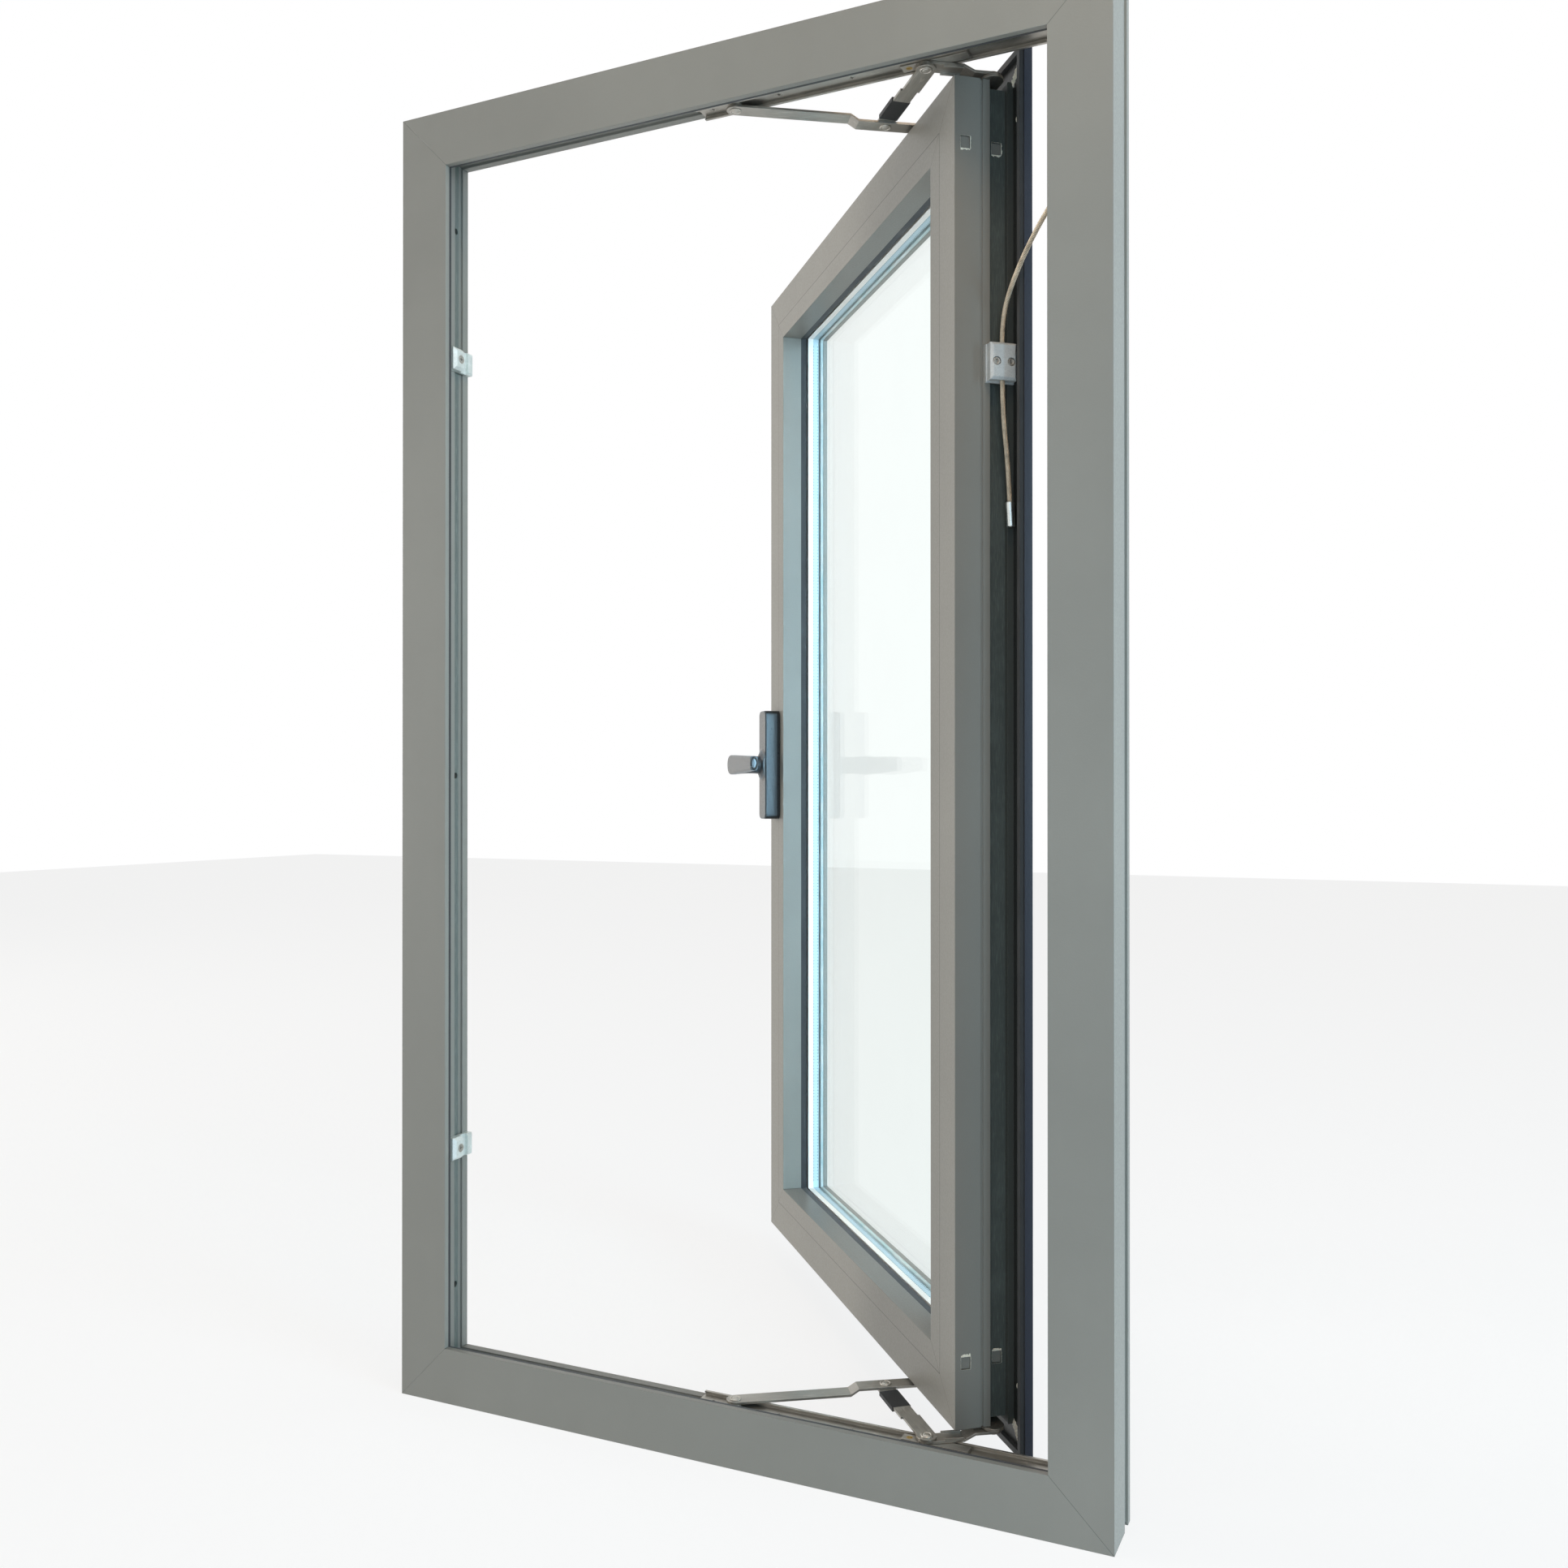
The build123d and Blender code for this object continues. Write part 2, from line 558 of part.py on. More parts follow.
def long_arms():
    """The long arms, each bent down a level between its first two pivots."""
    length = STAY_ARM + STAY_NOSE
    reach = ARM_W / 2 + 1
    joggle_end = JOGGLE_AT + JOGGLE_RUN
    side = Polyline(
        (-reach, 0, NOSE_LOW),
        (JOGGLE_AT, 0, NOSE_LOW),
        (joggle_end, 0, ARM_LOW),
        (length + reach, 0, ARM_LOW),
        (length + reach, 0, ARM_LOW + ARM_T),
        (joggle_end, 0, ARM_LOW + ARM_T),
        (JOGGLE_AT, 0, NOSE_LOW + ARM_T),
        (-reach, 0, NOSE_LOW + ARM_T),
        close=True,
    )
    strip = extrude(make_face(side), amount=ARM_W, both=True, dir=(0, 1, 0))
    arm = strip & capsule(length, ARM_W, 0, SASH_GAP)
    arm -= post(PIVOT_R + PIVOT_PLAY, 0, SASH_GAP)
    arm -= post(PIVOT_R, 0, SASH_GAP, STAY_ARM)
    arm -= post(PIVOT_R + PIVOT_PLAY, 0, SASH_GAP, length)
    save("stay_long_arms", both_ends(at(FIX, ARM_ANGLE) * arm))
    top = LINK_LOW - STACK_GAP / 2
    rivet = post(PIVOT_R, top - RIVET_HEAD_T, ARM_LOW + ARM_T)
    rivet += post(RIVET_HEAD_R, top - RIVET_HEAD_T, top)
    rivet += post(RIVET_HEAD_R, ARM_LOW + ARM_T, ARM_LOW + ARM_T + RIVET_HEAD_T)
    save("stay_middle_rivets", both_ends(at(MIDDLE) * rivet))


PAD_START = 54.0  # shoe pivot to the near end of the link's plastic pad
PAD_END = 86.0
PAD_SIDE = 0.8
PAD_SINK = 0.6
LINK_JOG = 1.6
LINK_STEP_AT = 36.0


def link_blank():
    """A short link drawn from the shoe pivot along -X, its two halves offset sideways."""
    half, high = LINK_W / 2, LINK_LOW + LINK_T
    near = block(-LINK_STEP_AT, 0, LINK_JOG - half, half, LINK_LOW, high)
    far = block(-STAY_LINK, -LINK_STEP_AT, -half, half - LINK_JOG, LINK_LOW, high)
    eyes = post(half, LINK_LOW, high) + post(half - LINK_JOG / 2, LINK_LOW, high, -STAY_LINK)
    return near + far + eyes


def short_links():
    """The short links from shoe to long arm, each with a plastic pad let into it."""
    half = LINK_W / 2
    low_side, high_side = -half - PAD_SIDE, half - LINK_JOG + PAD_SIDE
    face = LINK_LOW + LINK_T
    sink = block(-PAD_END, -PAD_START, low_side, high_side, face - PAD_SINK, face + 1)
    link = link_blank() - sink
    link -= post(PIVOT_R + PIVOT_PLAY, 0, SASH_GAP)
    link -= post(PIVOT_R + PIVOT_PLAY, 0, SASH_GAP, -STAY_LINK)
    save("stay_short_links", both_ends(at(SHOE_AT, -OPEN_ANGLE) * link))
    pad = block(-PAD_END, -PAD_START, low_side, high_side, LINK_LOW - 2 * PAD_SIDE, face) - link
    save("stay_link_pads", both_ends(at(SHOE_AT, -OPEN_ANGLE) * pad))


NOSE_JOGGLE_AT = 29.0
NOSE_JOGGLE_RUN = 9.0
RIM_START = 13.0
RIM_H = 1.6


def nose_links():
    """The nose links from shoe to sash plate, rimmed along both edges and bent down a level."""
    reach = NOSE_W
    bend = NOSE_JOGGLE_AT + NOSE_JOGGLE_RUN
    side = Polyline(
        (-reach, 0, NOSE_LOW),
        (NOSE_JOGGLE_AT, 0, NOSE_LOW),
        (bend, 0, ARM_LOW),
        (STAY_NOSE + reach, 0, ARM_LOW),
        (STAY_NOSE + reach, 0, ARM_LOW + ARM_T),
        (bend, 0, ARM_LOW + ARM_T),
        (NOSE_JOGGLE_AT, 0, NOSE_LOW + ARM_T),
        (-reach, 0, NOSE_LOW + ARM_T),
        close=True,
    )
    strip = extrude(make_face(side), amount=NOSE_W, both=True, dir=(0, 1, 0))
    nose = strip & capsule(STAY_NOSE, NOSE_W, 0, SASH_GAP)
    for side_sign in (-1, 1):
        edge = side_sign * (NOSE_W - NOSE_RIM) / 2
        rim = Pos(0, edge, 0) * block(RIM_START, NOSE_JOGGLE_AT, -NOSE_RIM / 2, NOSE_RIM / 2,
                                      NOSE_LOW + ARM_T - 0.5, NOSE_LOW + ARM_T + RIM_H)
        nose += rim
    nose -= post(PIVOT_R + PIVOT_PLAY, 0, SASH_GAP)
    nose -= post(PIVOT_R + PIVOT_PLAY, 0, SASH_GAP, STAY_NOSE)
    save("stay_nose_links", both_ends(at(SHOE_AT, ARM_ANGLE) * nose))


def shoes():
    """The sliding shoes, their brass friction screws and the rivets that both links turn on."""
    low, lip = SHOE_LOW, TRACK_H - TRACK_T - STACK_GAP
    top = SHOE_LOW + SHOE_T
    foot = block(-SHOE_BACK, SHOE_FRONT, -SHOE_W / 2, SHOE_W / 2, low, lip)
    neck = block(-SHOE_BACK, SHOE_FRONT, -SHOE_NECK_W / 2, SHOE_NECK_W / 2, lip, top)
    screw_x = -SHOE_BACK + FRICTION_IN
    middle = (low + top) / 2
    shoe = foot + neck - post(PIVOT_R, 0, SASH_GAP) - post(FRICTION_R, middle, top + 1, screw_x)
    save("stay_shoes", both_ends(at(SHOE_AT) * shoe))
    screw = post(FRICTION_R, middle, top, screw_x)
    long, wide, deep = FRICTION_SLOT
    slot = Pos(screw_x, 0, top) * Box(long, wide, 2 * deep)
    save("stay_friction_screws", both_ends(at(SHOE_AT) * (screw - slot)))
    face = LINK_LOW + LINK_T + STACK_GAP / 2
    rivet = post(PIVOT_R, low, face + RIVET_HEAD_T) + post(RIVET_HEAD_R, face, face + RIVET_HEAD_T)
    rivet -= post(PIVOT_R / 2, face + RIVET_HEAD_T / 2, SASH_GAP)
    save("stay_shoe_rivets", both_ends(at(SHOE_AT) * rivet))


PLATE_X0 = NOSE_SHUT.X - STAY_LINK - PLATE_TAIL
PLATE_X1 = NOSE_SHUT.X + PLATE_PAST_PIVOT - PLATE_W / 2
PLATE_SCREWS = (
    PLATE_X0 + PLATE_SCREW_END,
    NOSE_SHUT.X - STAY_LINK + PLATE_SCREW_EYE,
    NOSE_SHUT.X - STAY_LINK / 2,
)


def sash_plates():
    """Plates on the sash's bottom and top edges, their screws, and the end and nose rivets."""
    plate = block(PLATE_X0, PLATE_X1, -PLATE_W / 2, PLATE_W / 2, PLATE_LOW, SASH_GAP)
    plate += post(PLATE_W / 2, PLATE_LOW, SASH_GAP, PLATE_X1)
    plate = Pos(0, PIVOT_Y, 0) * plate
    end_x = NOSE_SHUT.X - STAY_LINK
    for x in (end_x, NOSE_SHUT.X):
        plate -= post(PIVOT_R, 0, SASH_GAP + 1, x, PIVOT_Y)
    screws = []
    for x in PLATE_SCREWS:
        place = Pos(x, PIVOT_Y - PLATE_SCREW_OFF, PLATE_LOW) * Rot(180, 0, 0)
        plate -= place * csk_tool(SCREW_L)
        screws += both_ends(place * csk_screw(SCREW_L))
    sash_save("stay_sash_plates", both_ends(plate))
    sash_save("stay_plate_screws", screws)
    flush = post(PIVOT_R, ARM_LOW + 0.1, SASH_GAP, end_x, PIVOT_Y)
    head = post(RIVET_HEAD_R, ARM_LOW - STACK_GAP / 2 - RIVET_HEAD_T, ARM_LOW - STACK_GAP / 2)
    nose = post(PIVOT_R, ARM_LOW - STACK_GAP / 2 - RIVET_HEAD_T, SASH_GAP) + head
    nose = Pos(NOSE_SHUT.X, PIVOT_Y, 0) * nose
    sash_save("stay_end_rivets", both_ends(flush))
    sash_save("stay_nose_rivets", both_ends(nose))


def plate_screw_tools():
    """What the plate screws take out of the sash rails."""
    tools = []
    for x in PLATE_SCREWS:
        place = Pos(x, PIVOT_Y - PLATE_SCREW_OFF, PLATE_LOW) * Rot(180, 0, 0)
        tools += both_ends(place * csk_tool(SCREW_L))
    return tools


# ---------------------------------------------------------------- sash
SASH_INNER = [
    in_sash([
        (0, 0), (STILE_W, 0), (STILE_W, SASH_IN_D), (0, SASH_IN_D),
        (0, LINE_T + LINE_W), (LINE_SINK, LINE_T + LINE_W), (LINE_SINK, LINE_T), (0, LINE_T),
    ]),
    in_sash(rect(WALL, STILE_W - WALL, WALL, SASH_IN_D - WALL)),
]
SASH_OUTER = [
    in_sash([
        (0, OUT_START), (STILE_W, OUT_START), (STILE_W, LIP_START), (SIGHT, LIP_START),
        (SIGHT, SASH_D), (-FLANGE_REACH, SASH_D), (-FLANGE_REACH, SASH_D - FLANGE_T),
        (0, SASH_D - FLANGE_T),
    ]),
    in_sash(rect(WALL, STILE_W - WALL, OUT_START + WALL, SASH_D - WALL)),
    in_sash(rect(WALL - FLANGE_REACH, -WALL, SASH_D - FLANGE_T + WALL, SASH_D - WALL)),
]
SASH_BREAKS = [
    [in_sash(rect(GROOVE_DEPTH, GROOVE_DEPTH + WALL, SASH_IN_D, OUT_START))],
    [in_sash(rect(STILE_W - WALL, STILE_W, SASH_IN_D, OUT_START))],
]
BEAD = [
    in_sash(rect(STILE_W, SIGHT, 0, BEAD_D)),
    in_sash(rect(STILE_W + WALL, SIGHT - WALL, WALL, BEAD_D - WALL)),
]
LOCK_EDGE = -HINGE_EDGE
HANDLE_X = LOCK_EDGE + HANDLE_IN


def stile_tools():
    """Openings in the lock stile: spindle, handle screws and the slot for the rod's lug."""
    slot = block(
        LOCK_EDGE + ROD_SET, LOCK_EDGE + ROD_SET + ROD_T + GUIDE_GAP,
        SASH_SET + SASH_IN_D - WALL - 1, SASH_SET + SASH_IN_D + 1,
        HANDLE_Z - LUG_H / 2 - LUG_PLAY, HANDLE_Z + LUG_H / 2 + LOCK_TRAVEL + LUG_PLAY,
    )
    return [spindle_tool(4 * WALL), slot, *handle_screw_tools()]


def hinge_tools():
    """Punched slots near both ends of the hinge edge, and the cable clamp's screw holes."""
    tools = []
    for height in (SASH_MARGIN + SLOT_INSET, SASH_TOP - SLOT_INSET):
        low, high = height - SLOT_H / 2, height + SLOT_H / 2
        for depth in (SLOT_SET, GROOVE_MID):
            y = SASH_SET + depth
            tools.append(
                block(HINGE_EDGE - GROOVE_DEPTH - WALL - 1, HINGE_EDGE + 1, y - SLOT_W / 2,
                      y + SLOT_W / 2, low, high)
            )
    return tools + clamp_screw_tools()


def clamp_places():
    """Where the two clamp screws sit, their heads facing the hinge jamb."""
    for shift in (-CLAMP_SCREWS / 2, CLAMP_SCREWS / 2):
        yield Pos(HINGE_EDGE + CLAMP_T, SASH_SET + GROOVE_MID + shift, CLAMP_Z) * Rot(0, 90, 0)


def clamp_screw_tools():
    """What the clamp's screws take out of what they pass through."""
    hole = post(CLAMP_SCREW_R, -CLAMP_T - GROOVE_DEPTH - WALL, 0)
    sink = post(CLAMP_SCREW_HEAD_R, -CLAMP_HEAD_T, 1)
    return [place * (hole + sink) for place in clamp_places()]


def sash_members():
    """Two rails and two stiles, each a room-side and a weather-side extrusion."""
    tools = {
        "bottom": plate_screw_tools(),
        "top": plate_screw_tools(),
        "left": stile_tools(),
        "right": hinge_tools(),
    }
    names = {"bottom": "bottom_rail", "top": "top_rail", "left": "lock_stile", "right": "hinge_stile"}
    breaks, beads = [], []
    for side, name in names.items():
        size = (side, SASH_W, SASH_H, FLANGE_REACH)
        solids = [cut(ring_member(part, *size), tools[side]) for part in (SASH_INNER, SASH_OUTER)]
        sash_save(f"sash_{name}", solids)
        breaks += [cut(ring_member(part, *size), tools[side]) for part in SASH_BREAKS]
        sash_save(f"glazing_bead_{side}", ring_member(BEAD, *size))
    sash_save("sash_thermal_breaks", breaks)
    depth = SASH_IN_D - 2 * WALL
    cleats = corner_cleats(WALL, depth, SASH_W, SASH_H, CLEAT_T)
    cleats = [cut(cleat, plate_screw_tools()) for cleat in cleats]
    sash_save("sash_corner_cleats", [Pos(0, SASH_SET + WALL + depth / 2, 0) * c for c in cleats])


def glazing():
    """The sealed double-glazed unit, its gaskets and the blocks that it stands on."""
    first = SASH_SET + PANE_SET
    second = first + PANE_T + SPACER_T
    size = (SASH_W, SASH_H)
    pane = Box(SASH_W - 2 * PANE_IN, PANE_T, SASH_H - 2 * PANE_IN)
    for name, face in (("inner", first), ("outer", second)):
        sash_save(f"glass_{name}", Pos(0, face + PANE_T / 2, FRAME_H / 2) * pane)
    spacer_in = SIGHT - SPACER_UNDER
    gap = (first + PANE_T, second)
    spacer = loop(spacer_in - SPACER_W, spacer_in, *gap, *size)
    hollow = (spacer_in - SPACER_W + SPACER_WALL, spacer_in - SPACER_WALL)
    spacer -= loop(*hollow, gap[0] + SPACER_WALL, gap[1] - SPACER_WALL, *size)
    sash_save("glass_spacer", spacer)
    sash_save("glass_sealant", loop(PANE_IN, spacer_in - SPACER_W, *gap, *size))
    inner = SIGHT - GASKET_STAND
    strip = (inner - GLAZING_GASKET_W, inner)
    sash_save("gasket_glazing_inner", loop(*strip, SASH_SET + BEAD_D, first, *size))
    outer = (second + PANE_T, SASH_SET + LIP_START)
    sash_save("gasket_glazing_outer", loop(*strip, *outer, *size))
    lip = SASH_SET + SASH_D - FLANGE_T
    span = (GASKET_STAND - FLANGE_REACH, GASKET_STAND - FLANGE_REACH + FLANGE_GASKET_W)
    depth = (FRAME_D + SEAL_GAP, lip)
    sash_save("gasket_flange", loop(*span, *depth, *size))
    blocks = []
    for x in (-SASH_W / 4, SASH_W / 4):
        low = SASH_MARGIN + STILE_W
        blocks.append(block(x - BLOCK_L / 2, x + BLOCK_L / 2, first, second + PANE_T, low,
                            low + PANE_EDGE_GAP))
    sash_save("glazing_blocks", blocks)


# ---------------------------------------------------------------- lock and handle
def lock_gear():
    """The sliding rod in the lock edge, its cams and guides, and the gear case behind it."""
    groove = SASH_SET + GROOVE_MID
    out = LOCK_EDGE + ROD_SET
    low, high = KEEPER_Z[0] - LOCK_TRAVEL - ROD_PAST_CAM, KEEPER_Z[1] - LOCK_TRAVEL + ROD_PAST_CAM
    rod = block(out, out + ROD_T, groove - ROD_W / 2, groove + ROD_W / 2, low, high)
    rod += block(out + LUG_THIN, out + ROD_T, SASH_SET + GEAR_D, groove, HANDLE_Z - LUG_H / 2,
                 HANDLE_Z + LUG_H / 2)
    sash_save("lock_rod", rod)
    tip = -HALF_W + REBATE_W + KEEPER_FLOOR + CAM_TIP_GAP
    cams = []
    for height in KEEPER_Z:
        place = (SASH_SET + CAM_SET, height - LOCK_TRAVEL)
        pin = Pos(tip, place[0], place[1]) * Rot(0, 90, 0) * post(CAM_R, 0, out - tip)
        cams.append(chamfer(pin.faces().sort_by(Axis.X)[0].edges(), CAM_BEVEL))
    sash_save("lock_cams", cams)
    guides = []
    span = KEEPER_Z[1] - KEEPER_Z[0]
    for share in GUIDE_SHARES:
        height = KEEPER_Z[0] + share * span
        guides.append(block(LOCK_EDGE, LOCK_EDGE + GUIDE_T, SASH_SET + SASH_IN_D, SASH_SET + OUT_START,
                            height - GUIDE_H / 2, height + GUIDE_H / 2))
    sash_save("lock_guides", guides)
    inner = LOCK_EDGE + STILE_W - WALL
    case = block(inner - GEAR_W, inner, SASH_SET + WALL, SASH_SET + WALL + GEAR_D,
                 HANDLE_Z - GEAR_H / 2, HANDLE_Z + GEAR_H / 2)
    sash_save("lock_gear_case", cut(case, [spindle_tool(), *handle_screw_tools()]))


def spindle_tool(reach=80.0):
    """The round hole that the spindle turns in, wide enough for its corners."""
    hole = Cylinder(SPINDLE_A / sqrt(2) + SPINDLE_PLAY, reach)
    return Pos(HANDLE_X, SASH_SET, HANDLE_Z) * Rot(90, 0, 0) * hole


def handle_screw_tools():
    """What the handle's two screws take out of plate, stile and gear case."""
    return [place * csk_tool(SCREW_L) for place in handle_screw_places()]


def handle_screw_places():
    """Where the handle's screws sit, on the mounting plate."""
    for shift in (-HANDLE_SCREW_SPAN / 2, HANDLE_SCREW_SPAN / 2):
        yield Pos(HANDLE_X, SASH_SET - MOUNT_PLATE_T, HANDLE_Z + shift) * Rot(90, 0, 0)


def handle_base():
    """The cover on the lock stile, the steel plate inside it and that plate's screws."""
    shell = Pos(HANDLE_X, SASH_SET - BASE_T / 2, HANDLE_Z) * Box(BASE_W, BASE_T, BASE_H)
    shell = fillet(shell.edges().filter_by(Axis.Y), BASE_R)
    shell = fillet(shell.faces().sort_by(Axis.Y)[0].edges(), BASE_EDGE_R)
    boss = Pos(HANDLE_X, SASH_SET - BASE_T, HANDLE_Z) * Rot(90, 0, 0) * Cone(
        BOSS_FOOT_R, NECK_R + BOSS_RIM, BOSS_T, align=(Align.CENTER,) * 2 + (Align.MIN,)
    )
    boss &= Pos(HANDLE_X, SASH_SET - BASE_T, HANDLE_Z) * Box(BASE_W, 2 * BOSS_T, BASE_H)
    cavity = Pos(HANDLE_X, SASH_SET - (BASE_T - BASE_WALL) / 2, HANDLE_Z) * Box(
        BASE_W - 2 * BASE_WALL, BASE_T - BASE_WALL, BASE_H - 2 * BASE_WALL
    )
    cavity = fillet(cavity.edges().filter_by(Axis.Y), BASE_R - BASE_WALL)
    neck = Pos(HANDLE_X, SASH_SET, HANDLE_Z) * Rot(90, 0, 0) * Cylinder(NECK_R + NECK_PLAY, 80)
    sash_save("handle_base", shell + boss - cavity - neck)
    plate = Pos(HANDLE_X, SASH_SET - MOUNT_PLATE_T / 2, HANDLE_Z) * Box(
        BASE_W - 2 * BASE_WALL, MOUNT_PLATE_T, BASE_H - 2 * BASE_WALL
    )
    plate = fillet(plate.edges().filter_by(Axis.Y), BASE_R - BASE_WALL)
    sash_save("handle_plate", cut(plate, [spindle_tool(), *handle_screw_tools()]))
    sash_save("handle_screws", [place * csk_screw(SCREW_L) for place in handle_screw_places()])


def handle_lever():
    """The lever with its waisted neck, and the square spindle that it turns."""
    front = BASE_T + BOSS_T
    waist = (NECK_R - NECK_WAIST, (front + LEVER_BACK) / 2)
    flare = NECK_R + NECK_FLARE
    outline = [
        Line((0, PLATE_GAP), (NECK_R, PLATE_GAP)),
        Line((NECK_R, PLATE_GAP), (NECK_R, front)),
        ThreePointArc((NECK_R, front), waist, (flare, LEVER_BACK)),
        Line((flare, LEVER_BACK), (flare, LEVER_BACK + LEVER_REAR_R)),
        Line((flare, LEVER_BACK + LEVER_REAR_R), (0, LEVER_BACK + LEVER_REAR_R)),
        Line((0, LEVER_BACK + LEVER_REAR_R), (0, PLATE_GAP)),
    ]
    neck = revolve(make_face(Wire(outline)), axis=Axis.Y)
    flat_end = Pos(LEVER_L - LEVER_TIP_R / 2, 0) * Rectangle(LEVER_TIP_R, 2 * LEVER_TIP_R)
    plan = make_hull(Circle(LEVER_HUB_R).edges() + flat_end.edges())
    side = Polyline(
        (-LEVER_HUB_R, 0, 0),
        (LEVER_L, 0, LEVER_T - LEVER_TIP_T),
        (LEVER_L, 0, LEVER_T),
        (-LEVER_HUB_R, 0, LEVER_T),
        close=True,
    )
    bar = extrude(plan, amount=LEVER_T)
    bar &= extrude(make_face(side), amount=2 * LEVER_HUB_R, both=True, dir=(0, 1, 0))
    for index, radius in ((-1, LEVER_FRONT_R), (0, LEVER_REAR_R)):
        rim = bar.faces().sort_by(Axis.Z)[index].edges()
        bar = fillet([e for e in rim if e.center().X < LEVER_L - 1], radius)
    bar = fillet(bar.faces().sort_by(Axis.X)[-1].edges(), LEVER_END_R)
    room = Pos(HANDLE_X, SASH_SET, HANDLE_Z)
    lever = room * (Rot(180, 0, 0) * neck + Pos(0, -LEVER_BACK, 0) * Rot(90, 0, 0) * bar)
    sash_save("handle_lever", lever)
    reach = PLATE_GAP + WALL + GEAR_D - 2 * SPINDLE_PLAY
    spindle = Pos(0, reach / 2 - PLATE_GAP, 0) * Box(SPINDLE_A, reach, SPINDLE_A)
    sash_save("handle_spindle", room * spindle)


# ---------------------------------------------------------------- restrictor cable
def cable_clamp():
    """The two-part clamp on the hinge edge and its screws."""
    y, low, high = SASH_SET + GROOVE_MID, CLAMP_Z - CLAMP_H / 2, CLAMP_Z + CLAMP_H / 2
    base = block(HINGE_EDGE, HINGE_EDGE + CLAMP_BASE_T, y - CLAMP_W / 2, y + CLAMP_W / 2, low, high)
    side = CLAMP_W / 2 - CLAMP_STEP
    cover = block(HINGE_EDGE + CLAMP_BASE_T, HINGE_EDGE + CLAMP_T, y - side, y + side,
                  low + CLAMP_STEP, high)
    cover = chamfer(cover.faces().sort_by(Axis.X)[-1].edges(), CLAMP_BEVEL)
    bore = post(CABLE_R + CABLE_PLAY, low - 1, high + 1, HINGE_EDGE + CABLE_OFF, y)
    sash_save("cable_clamp_base", cut(base, clamp_screw_tools()))
    sash_save("cable_clamp_cover", cut(cover, clamp_screw_tools()) - bore)
    screws = []
    socket = extrude(RegularPolygon(CLAMP_SOCKET_R, 6), amount=CLAMP_SOCKET_D, both=True)
    shank = post(CLAMP_SCREW_R, -CLAMP_T - GROOVE_DEPTH - WALL, -CLAMP_HEAD_T)
    for place in clamp_places():
        head = post(CLAMP_SCREW_HEAD_R, -CLAMP_HEAD_T, 0) - socket
        screws.append(place * (shank + head))
    sash_save("cable_clamp_screws", screws)


def route(points):
    """A cable's path: straight runs joined by the largest arcs that their lengths allow."""
    radii = []
    for before, here, after in zip(points, points[1:], points[2:]):
        first, second = here - before, after - here
        turn = radians(first.get_angle(second))
        radii.append(0.45 * min(first.length, second.length) / tan(turn / 2))
    print("cable radii", [round(r, 1) for r in radii])
    return FilletPolyline(*points, radius=radii)


def cable(points):
    """A cable of round section along its route."""
    path = route(points)
    start = Plane(origin=path @ 0, z_dir=path % 0)
    tube = sweep(start * Circle(CABLE_R), path=path)
    print("cable volume over section times length", tube.volume / (pi * CABLE_R**2 * path.length))
    return tube


def cable_pieces():
    """The cable from the jamb to the clamp, its tail below the clamp, and the ferrule."""
    low, high = CLAMP_Z - CLAMP_H / 2, CLAMP_Z + CLAMP_H / 2
    out, mid = HINGE_EDGE + CABLE_OFF, SASH_SET + GROOVE_MID
    tail_end = Vector(out - 0.4, mid + 6.6, low - 94.0)
    tail = [
        Vector(out, mid, high),
        Vector(out, mid, low - 6.0),
        Vector(out - 0.2, mid + 1.6, low - 34.0),
        Vector(out - 0.4, mid + 5.0, low - 64.0),
        tail_end,
    ]
    sash_save("cable_tail", cable(tail))
    ferrule = chamfer(post(FERRULE_R, 0, FERRULE_L).edges().filter_by(GeomType.CIRCLE), FERRULE_BEVEL)
    sash_save("cable_ferrule", Plane(origin=tail_end, z_dir=tail_end - tail[-2]) * ferrule)
    foot = (carry * Pos(out, mid, high)).position
    anchor = Vector(HALF_W - REBATE_W - ANCHOR_CABLE, ANCHOR_Y, ANCHOR_Z - ANCHOR_H / 2)
    upper = [
        foot,
        foot + Vector(0.0, 0.0, 18.0),
        foot + Vector(8.0, -5.0, 42.0),
        foot + Vector(28.0, -15.5, 74.0),
        anchor + Vector(-14.0, 7.0, -24.0),
        anchor + Vector(0.0, 0.0, -8.0),
        anchor + Vector(0.0, 0.0, ANCHOR_H / 3),
    ]
    save("cable_upper", cable(upper))


def main():
    """Write every node."""
    frame_members()
    frame_small_parts()
    keepers()
    cable_anchor()
    tracks()
    long_arms()
    short_links()
    nose_links()
    shoes()
    sash_plates()
    sash_members()
    glazing()
    lock_gear()
    handle_base()
    handle_lever()
    cable_clamp()
    cable_pieces()


main()
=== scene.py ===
"""Outward-opening casement window: finishes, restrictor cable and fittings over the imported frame."""

import random
from math import cos, pi, radians, sin

import bmesh
import bpy
from bpy.props import FloatProperty, FloatVectorProperty, IntProperty, PointerProperty
from mathutils import Matrix, Vector


